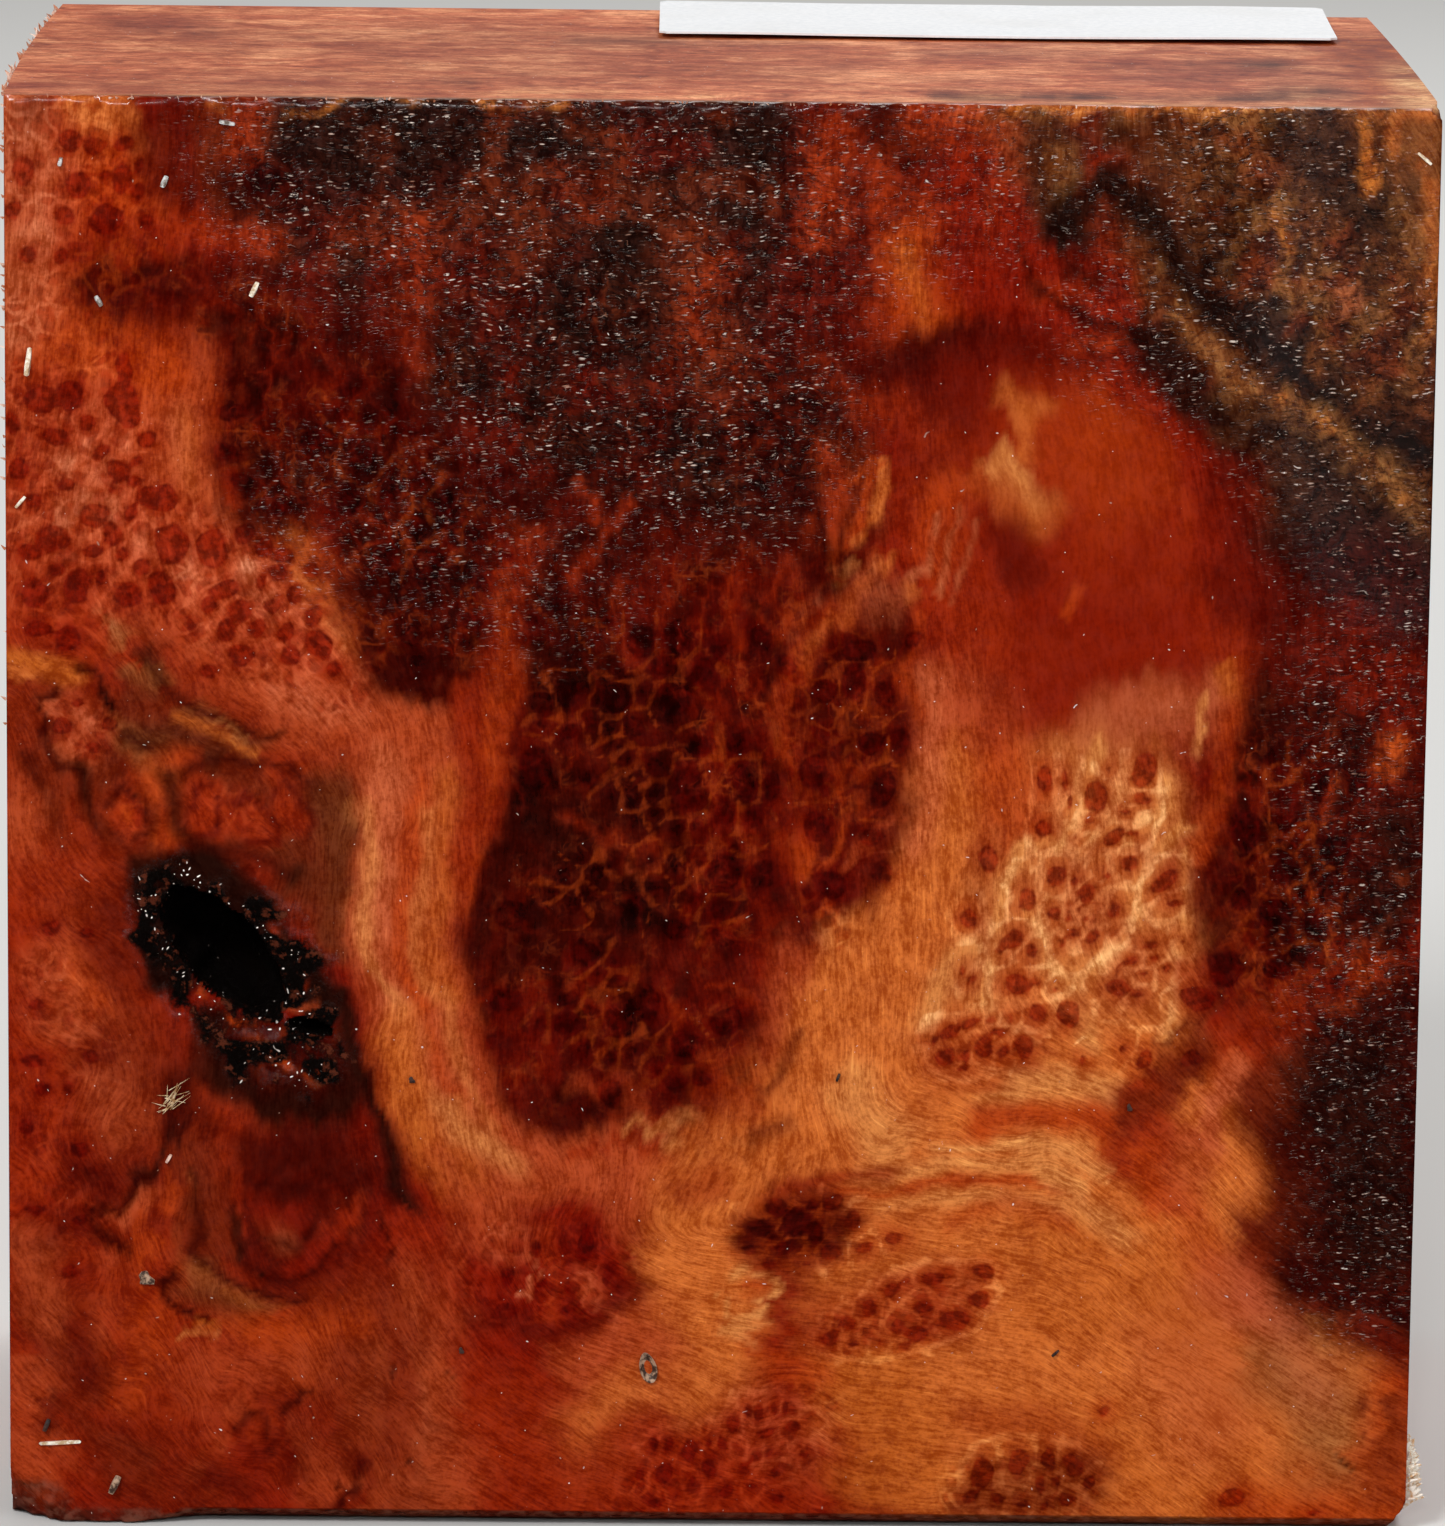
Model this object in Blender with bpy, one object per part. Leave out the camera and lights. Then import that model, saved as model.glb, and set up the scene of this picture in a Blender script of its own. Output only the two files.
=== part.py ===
"""Burl bowl blank: a sawn square block of lace burl with a bark pit, and a paper label on its top side.

Metres, +Z up. The origin is under the middle of the block, on the surface that it stands on. The figured
broad face looks along -Y, so the width runs along X and the thickness along Y.
"""

import math

import bpy
from mathutils import Matrix, Vector, noise

# Driving dimensions of the sawn block
WIDTH = 0.152
THICKNESS = 0.089
HEIGHT = 0.156

# The torn tuft stands out on the right, so the block sits this far to the left of the origin
BLOCK_X = -0.0006

LEFT = BLOCK_X - WIDTH / 2
RIGHT = BLOCK_X + WIDTH / 2
FRONT = -THICKNESS / 2
BACK = THICKNESS / 2

# The saw wandered: the left side is full in its middle and the right side draws in towards the back
LEFT_SWELL = 0.0007
RIGHT_TAPER = 0.0013
ARRIS = 0.0005
GRID_STEP = 0.012

# Bottom front arris, eased from the right end to a point near the left corner
EASE_RISE = 0.0017
EASE_RUN = 0.0030
EASE_LEFT_END = LEFT + 0.012

# Chipped and cut corners of the front face, as the lengths lost along X, Y and Z
CHIP_LEFT = (0.0058, 0.0042, 0.0062)
CUT_RIGHT = (0.0022, 0.0100, 0.0034)
CUT_TOP_RIGHT = (0.0011, 0.0060, 0.0013)

# Bark pit on the front face: middle, half sizes and lean of its long axis
PIT_X = LEFT + 0.0237
PIT_Z = 0.0632
PIT_HALF_LENGTH = 0.0088
PIT_HALF_WIDTH = 0.0042
PIT_DEPTH = 0.0115
PIT_LEAN = math.radians(-48)

# Sunken rim of torn bark round the pit
RIM_X = LEFT + 0.0252
RIM_Z = 0.0604
RIM_HALF_LENGTH = 0.0143
RIM_HALF_WIDTH = 0.0082
RIM_DEPTH = 0.0011

# Slot that runs on from the lower end of the pit
SLOT_X = LEFT + 0.0327
SLOT_Z = 0.0553
SLOT_HALF_LENGTH = 0.0024
SLOT_HALF_HEIGHT = 0.0008
SLOT_DEPTH = 0.0050
SLOT_LEAN = math.radians(-14)

# Torn tuft of pale wood on the right side, next to the front face
TUFT_REACH = 0.0019
TUFT_LOW = 0.0032
TUFT_HIGH = 0.0102
TUFT_Y = FRONT + 0.0040
TUFT_SPIKES = 5

# Paper label on the top side
LABEL_LENGTH = 0.0762
LABEL_WIDTH = 0.0254
LABEL_THICKNESS = 0.0003
LABEL_LEFT = LEFT + 0.0690
LABEL_FRONT = 0.0155
LABEL_GAP = 0.0004
LABEL_REAR_LIFT = 0.0007
LABEL_COCKLE = 0.00022
LABEL_CELLS = (24, 8)
LABEL_CORNER = 0.0009

# Colours read from the photo
WOOD_COLOUR = (0.26, 0.055, 0.016, 1.0)
PAPER_COLOUR = (0.86, 0.88, 0.90, 1.0)


def clear_scene():
    for thing in list(bpy.data.objects):
        bpy.data.objects.remove(thing, do_unlink=True)


def make_material(name, colour, roughness):
    material = bpy.data.materials.new(name)
    material.use_nodes = True
    shader = material.node_tree.nodes["Principled BSDF"]
    shader.inputs["Base Color"].default_value = colour
    shader.inputs["Roughness"].default_value = roughness
    shader.inputs["Metallic"].default_value = 0.0
    return material


def add_object(name, mesh):
    thing = bpy.data.objects.new(name, mesh)
    bpy.context.scene.collection.objects.link(thing)
    return thing


def mesh_from(name, points, faces):
    mesh = bpy.data.meshes.new(name)
    mesh.from_pydata([tuple(point) for point in points], [], faces)
    mesh.update()
    return mesh


def apply_modifiers(thing):
    """Bake the modifiers into the mesh, so that later cuts work on a plain mesh."""
    depsgraph = bpy.context.evaluated_depsgraph_get()
    baked = bpy.data.meshes.new_from_object(thing.evaluated_get(depsgraph))
    thing.modifiers.clear()
    thing.data = baked


def cut(body, cutter, operation="DIFFERENCE"):
    """Take the cutter out of the body, or add it to the body, and throw the cutter away."""
    step = body.modifiers.new(cutter.name, "BOOLEAN")
    step.operation = operation
    step.solver = "EXACT"
    step.object = cutter
    apply_modifiers(body)
    bpy.data.objects.remove(cutter, do_unlink=True)


# The sawn block: a box of even cells whose sides follow the wandering saw
def side_shift(x, y):
    """How far a point on the left or right side stands off its flat plane."""
    across = (y - FRONT) / THICKNESS
    if x < BLOCK_X:
        return -LEFT_SWELL * math.sin(math.pi * across)
    return -RIGHT_TAPER * across ** 2


def make_block(material):
    cells = [max(2, round(size / GRID_STEP)) for size in (WIDTH, THICKNESS, HEIGHT)]
    index = {}
    points = []
    faces = []

    def vertex(i, j, k):
        if (i, j, k) not in index:
            x = LEFT + WIDTH * i / cells[0]
            y = FRONT + THICKNESS * j / cells[1]
            z = HEIGHT * k / cells[2]
            lean = abs(2 * i / cells[0] - 1)
            index[i, j, k] = len(points)
            points.append((x + lean * side_shift(x, y), y, z))
        return index[i, j, k]

    for axis in range(3):
        one, two = (axis + 1) % 3, (axis + 2) % 3
        for far in (0, 1):
            for a in range(cells[one]):
                for b in range(cells[two]):
                    ring = []
                    for da, db in ((0, 0), (1, 0), (1, 1), (0, 1)):
                        place = [0, 0, 0]
                        place[axis] = far * cells[axis]
                        place[one] = a + da
                        place[two] = b + db
                        ring.append(vertex(*place))
                    faces.append(ring if far else ring[::-1])

    block = add_object("burl_block", mesh_from("burl_block", points, faces))
    block.data.materials.append(material)
    ease = block.modifiers.new("worn arrises", "BEVEL")
    ease.width = ARRIS
    ease.segments = 1
    ease.limit_method = "ANGLE"
    ease.angle_limit = math.radians(60)
    apply_modifiers(block)
    return block


# Corners lost to chips and saw cuts: each is a small tetrahedron taken off
def corner_cutter(name, corner, lost, inward):
    """A tetrahedron that covers the corner; lost holds its legs, inward the way that each leg runs."""
    spare = 0.004
    grow = 1 + spare * sum(1 / length for length in lost)
    tip = Vector([c - spare * way for c, way in zip(corner, inward)])
    points = [tip]
    for axis in range(3):
        leg = tip.copy()
        leg[axis] += inward[axis] * lost[axis] * grow
        points.append(leg)
    faces = [(0, 2, 1), (0, 3, 2), (0, 1, 3), (1, 2, 3)]
    if inward[0] * inward[1] * inward[2] < 0:
        faces = [face[::-1] for face in faces]
    return add_object(name, mesh_from(name, points, faces))


def ease_cutter():
    """A wedge under the front bottom arris that runs out to nothing near the left corner."""
    spare = 0.003
    end = RIGHT + spare
    rise = EASE_RISE * (1 + spare / EASE_RUN)
    points = [
        (EASE_LEFT_END, FRONT - spare, -spare),
        (EASE_LEFT_END + 0.010, FRONT - spare, EASE_RISE + EASE_RISE * spare / EASE_RUN),
        (EASE_LEFT_END + 0.010, FRONT + EASE_RUN + EASE_RUN * spare / EASE_RISE, -spare),
        (EASE_LEFT_END + 0.010, FRONT - spare, -spare),
        (end, FRONT - spare, rise),
        (end, FRONT + EASE_RUN + EASE_RUN * spare / EASE_RISE, -spare),
        (end, FRONT - spare, -spare),
    ]
    faces = [(0, 1, 2), (0, 3, 1), (0, 2, 3), (4, 6, 5), (1, 4, 5, 2), (3, 6, 4, 1), (2, 5, 6, 3)]
    return add_object("bottom arris", mesh_from("bottom arris", points, faces))


# Hollows left by bark: lumpy balls pressed into the front face
def hollow_cutter(name, x, z, half_x, half_z, depth, lean, roughness, seed):
    bpy.ops.mesh.primitive_ico_sphere_add(subdivisions=4, radius=1)
    ball = bpy.context.object
    ball.name = name
    turn = Matrix.Rotation(-lean, 4, "Y")
    for corner in ball.data.vertices:
        way = corner.co.normalized()
        lump = 1 + roughness * noise.noise(way * 2.2 + Vector((seed, 0, 0)))
        lump += 0.5 * roughness * noise.noise(way * 5.1 + Vector((0, seed, 0)))
        shaped = Vector((way.x * half_x, way.y * depth, way.z * half_z)) * lump
        corner.co = turn @ shaped + Vector((x, FRONT, z))
    return ball


# Torn tuft: leaning spikes that grow out of the right side
def tuft_spike(number):
    part = number / (TUFT_SPIKES - 1)
    foot_z = TUFT_LOW + (TUFT_HIGH - TUFT_LOW) * (0.16 + 0.60 * part)
    reach = TUFT_REACH * (0.72 + 0.28 * math.sin(math.pi * part))
    foot = Vector((RIGHT - 0.0012, TUFT_Y + 0.0014 * math.sin(2.4 * number), foot_z))
    tip = Vector((RIGHT + reach, TUFT_Y - 0.0006 + 0.0009 * math.cos(1.9 * number), foot_z + 0.0013))
    bpy.ops.mesh.primitive_cone_add(vertices=7, radius1=0.0021, radius2=0.0007, depth=1, end_fill_type="NGON")
    spike = bpy.context.object
    spike.name = f"spike {number}"
    run = tip - foot
    stretch = Matrix.Diagonal((1, 1, run.length, 1))
    turn = run.to_track_quat("Z", "Y").to_matrix().to_4x4()
    spike.data.transform(Matrix.Translation((foot + tip) / 2) @ turn @ stretch)
    return spike


# Paper label: a thin cockled sheet that lifts towards its rear edge
def label_height(along, across):
    lift = LABEL_REAR_LIFT * across ** 1.5
    cockle = LABEL_COCKLE * (1 + math.sin(7.2 * along + 1.1 + 0.8 * across)) / 2
    return HEIGHT + LABEL_GAP + lift + cockle


def make_label(material):
    columns, rows = LABEL_CELLS
    points = []
    for row in range(rows + 1):
        for column in range(columns + 1):
            along = column / columns
            across = row / rows
            x = LABEL_LEFT + LABEL_LENGTH * along
            y = LABEL_FRONT + LABEL_WIDTH * across
            if column in (0, columns) and row in (0, rows):
                x += LABEL_CORNER * (1 if column == 0 else -1)
                y += LABEL_CORNER * (1 if row == 0 else -1)
            points.append((x, y, label_height(along, across)))
    faces = []
    for row in range(rows):
        for column in range(columns):
            first = row * (columns + 1) + column
            faces.append((first, first + 1, first + columns + 2, first + columns + 1))
    label = add_object("paper_label", mesh_from("paper_label", points, faces))
    label.data.materials.append(material)
    sheet = label.modifiers.new("sheet", "SOLIDIFY")
    sheet.thickness = LABEL_THICKNESS
    sheet.offset = 1.0
    return label


clear_scene()
block = make_block(make_material("burl wood", WOOD_COLOUR, 0.35))
cut(block, corner_cutter("left chip", (LEFT, FRONT, 0), CHIP_LEFT, (1, 1, 1)))
cut(block, corner_cutter("right cut", (RIGHT, FRONT, 0), CUT_RIGHT, (-1, 1, 1)))
cut(block, corner_cutter("top right cut", (RIGHT, FRONT, HEIGHT), CUT_TOP_RIGHT, (-1, 1, -1)))
cut(block, ease_cutter())
cut(block, hollow_cutter("rim", RIM_X, RIM_Z, RIM_HALF_LENGTH, RIM_HALF_WIDTH, RIM_DEPTH, PIT_LEAN, 0.35, 3.0))
cut(block, hollow_cutter("pit", PIT_X, PIT_Z, PIT_HALF_LENGTH, PIT_HALF_WIDTH, PIT_DEPTH, PIT_LEAN, 0.22, 7.0))
cut(block, hollow_cutter("slot", SLOT_X, SLOT_Z, SLOT_HALF_LENGTH, SLOT_HALF_HEIGHT, SLOT_DEPTH, SLOT_LEAN, 0.2, 1.0))
for number in range(TUFT_SPIKES):
    cut(block, tuft_spike(number), "UNION")
make_label(make_material("label paper", PAPER_COLOUR, 0.75))
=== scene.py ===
"""Burl bowl blank: the looks of a sawn block of red lace burl with a bark pit, and of its label."""

import math

import bpy
import numpy as np
from mathutils import Euler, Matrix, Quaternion, Vector


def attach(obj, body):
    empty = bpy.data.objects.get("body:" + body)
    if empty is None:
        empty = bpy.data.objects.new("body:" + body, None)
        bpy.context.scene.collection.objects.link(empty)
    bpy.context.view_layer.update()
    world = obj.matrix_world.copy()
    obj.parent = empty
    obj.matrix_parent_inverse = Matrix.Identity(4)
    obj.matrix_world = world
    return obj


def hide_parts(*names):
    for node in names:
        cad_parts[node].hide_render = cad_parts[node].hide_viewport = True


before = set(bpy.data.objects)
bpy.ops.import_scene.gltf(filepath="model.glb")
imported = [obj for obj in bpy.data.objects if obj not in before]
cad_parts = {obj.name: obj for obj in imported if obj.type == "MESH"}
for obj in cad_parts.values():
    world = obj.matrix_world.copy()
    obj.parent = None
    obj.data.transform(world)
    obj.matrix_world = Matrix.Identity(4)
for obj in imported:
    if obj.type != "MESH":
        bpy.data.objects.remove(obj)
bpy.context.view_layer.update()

# The sawn block
# One piece of redwood burl, band-sawn square on all six sides. The front is smooth and was wetted to
# bring up the figure, the other sides are dry, and a bark pocket has rotted out of the front. Sizes are
# in mm, across from the left side, deep from the front and up from the table.
MM = 0.001
WIDTH = 152.0
THICKNESS = 89.0
HEIGHT = 156.0
BLOCK_X = -0.6
LEFT = BLOCK_X - WIDTH / 2
FRONT = -THICKNESS / 2
BACK = THICKNESS / 2
FRONT_CELLS = (256, 263)
BACK_CELLS = (60, 62)
BACK_RIM = 2.0
NEAR_STEPS = [0.4, 0.8, 1.4, 2.0, 2.8]
FAR_STEPS = 10
ON_FACE = 0.1
ON_EDGE = 0.05

bpy.ops.object.select_all(action="DESELECT")
bpy.ops.mesh.primitive_grid_add(x_subdivisions=FRONT_CELLS[0], y_subdivisions=FRONT_CELLS[1], size=1)
block = bpy.context.object
block.name = "burl_wood"
block.scale = (WIDTH * MM, HEIGHT * MM, 1)
block.rotation_euler = (math.radians(90), 0, 0)
block.location = (BLOCK_X * MM, FRONT * MM, HEIGHT / 2 * MM)
bpy.ops.object.transform_apply(location=True, rotation=True, scale=True)
bpy.ops.object.mode_set(mode="EDIT")
bpy.ops.mesh.select_mode(type="EDGE")
bpy.ops.mesh.select_all(action="DESELECT")
bpy.ops.mesh.select_non_manifold()
for step in NEAR_STEPS + [(THICKNESS - sum(NEAR_STEPS)) / FAR_STEPS] * FAR_STEPS:
    bpy.ops.mesh.extrude_edges_move(TRANSFORM_OT_translate={"value": (0, step * MM, 0)})
back_centre = (BLOCK_X * MM, BACK * MM, HEIGHT / 2 * MM)
bpy.ops.mesh.primitive_grid_add(
    x_subdivisions=BACK_CELLS[0], y_subdivisions=BACK_CELLS[1], size=1,
    location=back_centre, rotation=(math.radians(-90), 0, 0))
bpy.ops.transform.resize(
    value=((WIDTH - 2 * BACK_RIM) * MM, 1, (HEIGHT - 2 * BACK_RIM) * MM), center_override=back_centre)
bpy.ops.mesh.select_all(action="DESELECT")
bpy.ops.mesh.select_non_manifold()
bpy.ops.mesh.bridge_edge_loops()
bpy.ops.mesh.select_all(action="SELECT")
bpy.ops.mesh.normals_make_consistent(inside=False)
bpy.ops.mesh.select_all(action="DESELECT")
bpy.ops.object.mode_set(mode="OBJECT")

# The cells round the pit are cut finer, because its rim is torn
PIT = (23.7, 63.2)
RIM = (25.2, 60.4)
FINE_ZONE = 15.5
for face in block.data.polygons:
    across = face.center.x / MM - LEFT
    up = face.center.z / MM
    near = math.hypot(across - RIM[0], up - RIM[1]) < FINE_ZONE
    face.select = near and face.center.y / MM < FRONT + ON_FACE
bpy.ops.object.mode_set(mode="EDIT")
bpy.ops.mesh.select_mode(type="FACE")
bpy.ops.mesh.subdivide(number_cuts=1)
bpy.ops.mesh.select_all(action="DESELECT")
bpy.ops.object.mode_set(mode="OBJECT")


def points_of(piece):
    """The points of a piece in mm, one row for each."""
    flat = np.empty(len(piece.data.vertices) * 3)
    piece.data.vertices.foreach_get("co", flat)
    return flat.reshape(-1, 3) / MM


def set_points(piece, points):
    piece.data.vertices.foreach_set("co", (points * MM).ravel())
    piece.data.update()


LATTICE = 64


def lumps(x, y, z, size, seed):
    """Smooth noise from -1 to 1 with lumps about size mm wide."""
    table = np.random.default_rng(seed).uniform(-1, 1, (LATTICE, LATTICE, LATTICE))
    places = [np.asarray(c, dtype=float) / size + 31.7 for c in (x, y, z)]
    cells = [np.floor(place).astype(int) for place in places]
    parts = [place - cell for place, cell in zip(places, cells)]
    parts = [part ** 3 * (part * (6 * part - 15) + 10) for part in parts]
    total = 0.0
    for corner in range(8):
        steps = (corner & 1, corner >> 1 & 1, corner >> 2 & 1)
        share = 1.0
        for part, one in zip(parts, steps):
            share = share * (part if one else 1 - part)
        total = total + share * table[tuple((cell + one) % LATTICE for cell, one in zip(cells, steps))]
    return total


def ramp(value, low, high):
    """Rises smoothly from 0 at low to 1 at high, which may be the smaller one."""
    part = np.clip((value - low) / (high - low), 0, 1)
    return part * part * (3 - 2 * part)


def away(across, up, line):
    """Distance in mm from a line through given points."""
    if len(line) == 1:
        return np.hypot(across - line[0][0], up - line[0][1])
    best = np.full(np.shape(across), 1e9)
    for (a0, u0), (a1, u1) in zip(line, line[1:]):
        da, du = a1 - a0, u1 - u0
        part = np.clip(((across - a0) * da + (up - u0) * du) / (da * da + du * du), 0, 1)
        best = np.minimum(best, np.hypot(across - a0 - part * da, up - u0 - part * du))
    return best


flat = points_of(block)
across = flat[:, 0] - LEFT
deep = flat[:, 1] - FRONT
up = flat[:, 2]
on_front = deep < ON_FACE

# The figure of the front face is laid on in stains, from the broad grounds to the thin veins. Each stain has
# a tint, half its width, the softness of its edge, its strength and the line that it follows. A sixth number
# breaks it into patches of about that many millimetres.
TINTS = {
    "black": (30, 8, 4), "soot": (48, 14, 8), "maroon": (56, 5, 1), "wine": (86, 11, 3),
    "red": (118, 18, 3), "rust": (104, 30, 9), "ember": (138, 35, 7), "orange": (163, 54, 11),
    "salmon": (162, 62, 28), "pink": (176, 80, 44), "tan": (190, 95, 38), "gold": (176, 84, 27),
    "cream": (202, 124, 64), "brown": (94, 40, 17), "umber": (70, 30, 14), "bark gold": (140, 76, 36),
    "haze": (172, 86, 50), "straw": (186, 100, 47),
    # the dry sides, and the fuzz that the saw raised; the fuzz tint also paints glint streaks on the top
    "dry": (176, 94, 60), "dusty": (206, 122, 84), "pale": (212, 134, 94), "fuzz": (216, 160, 112),
}
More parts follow.
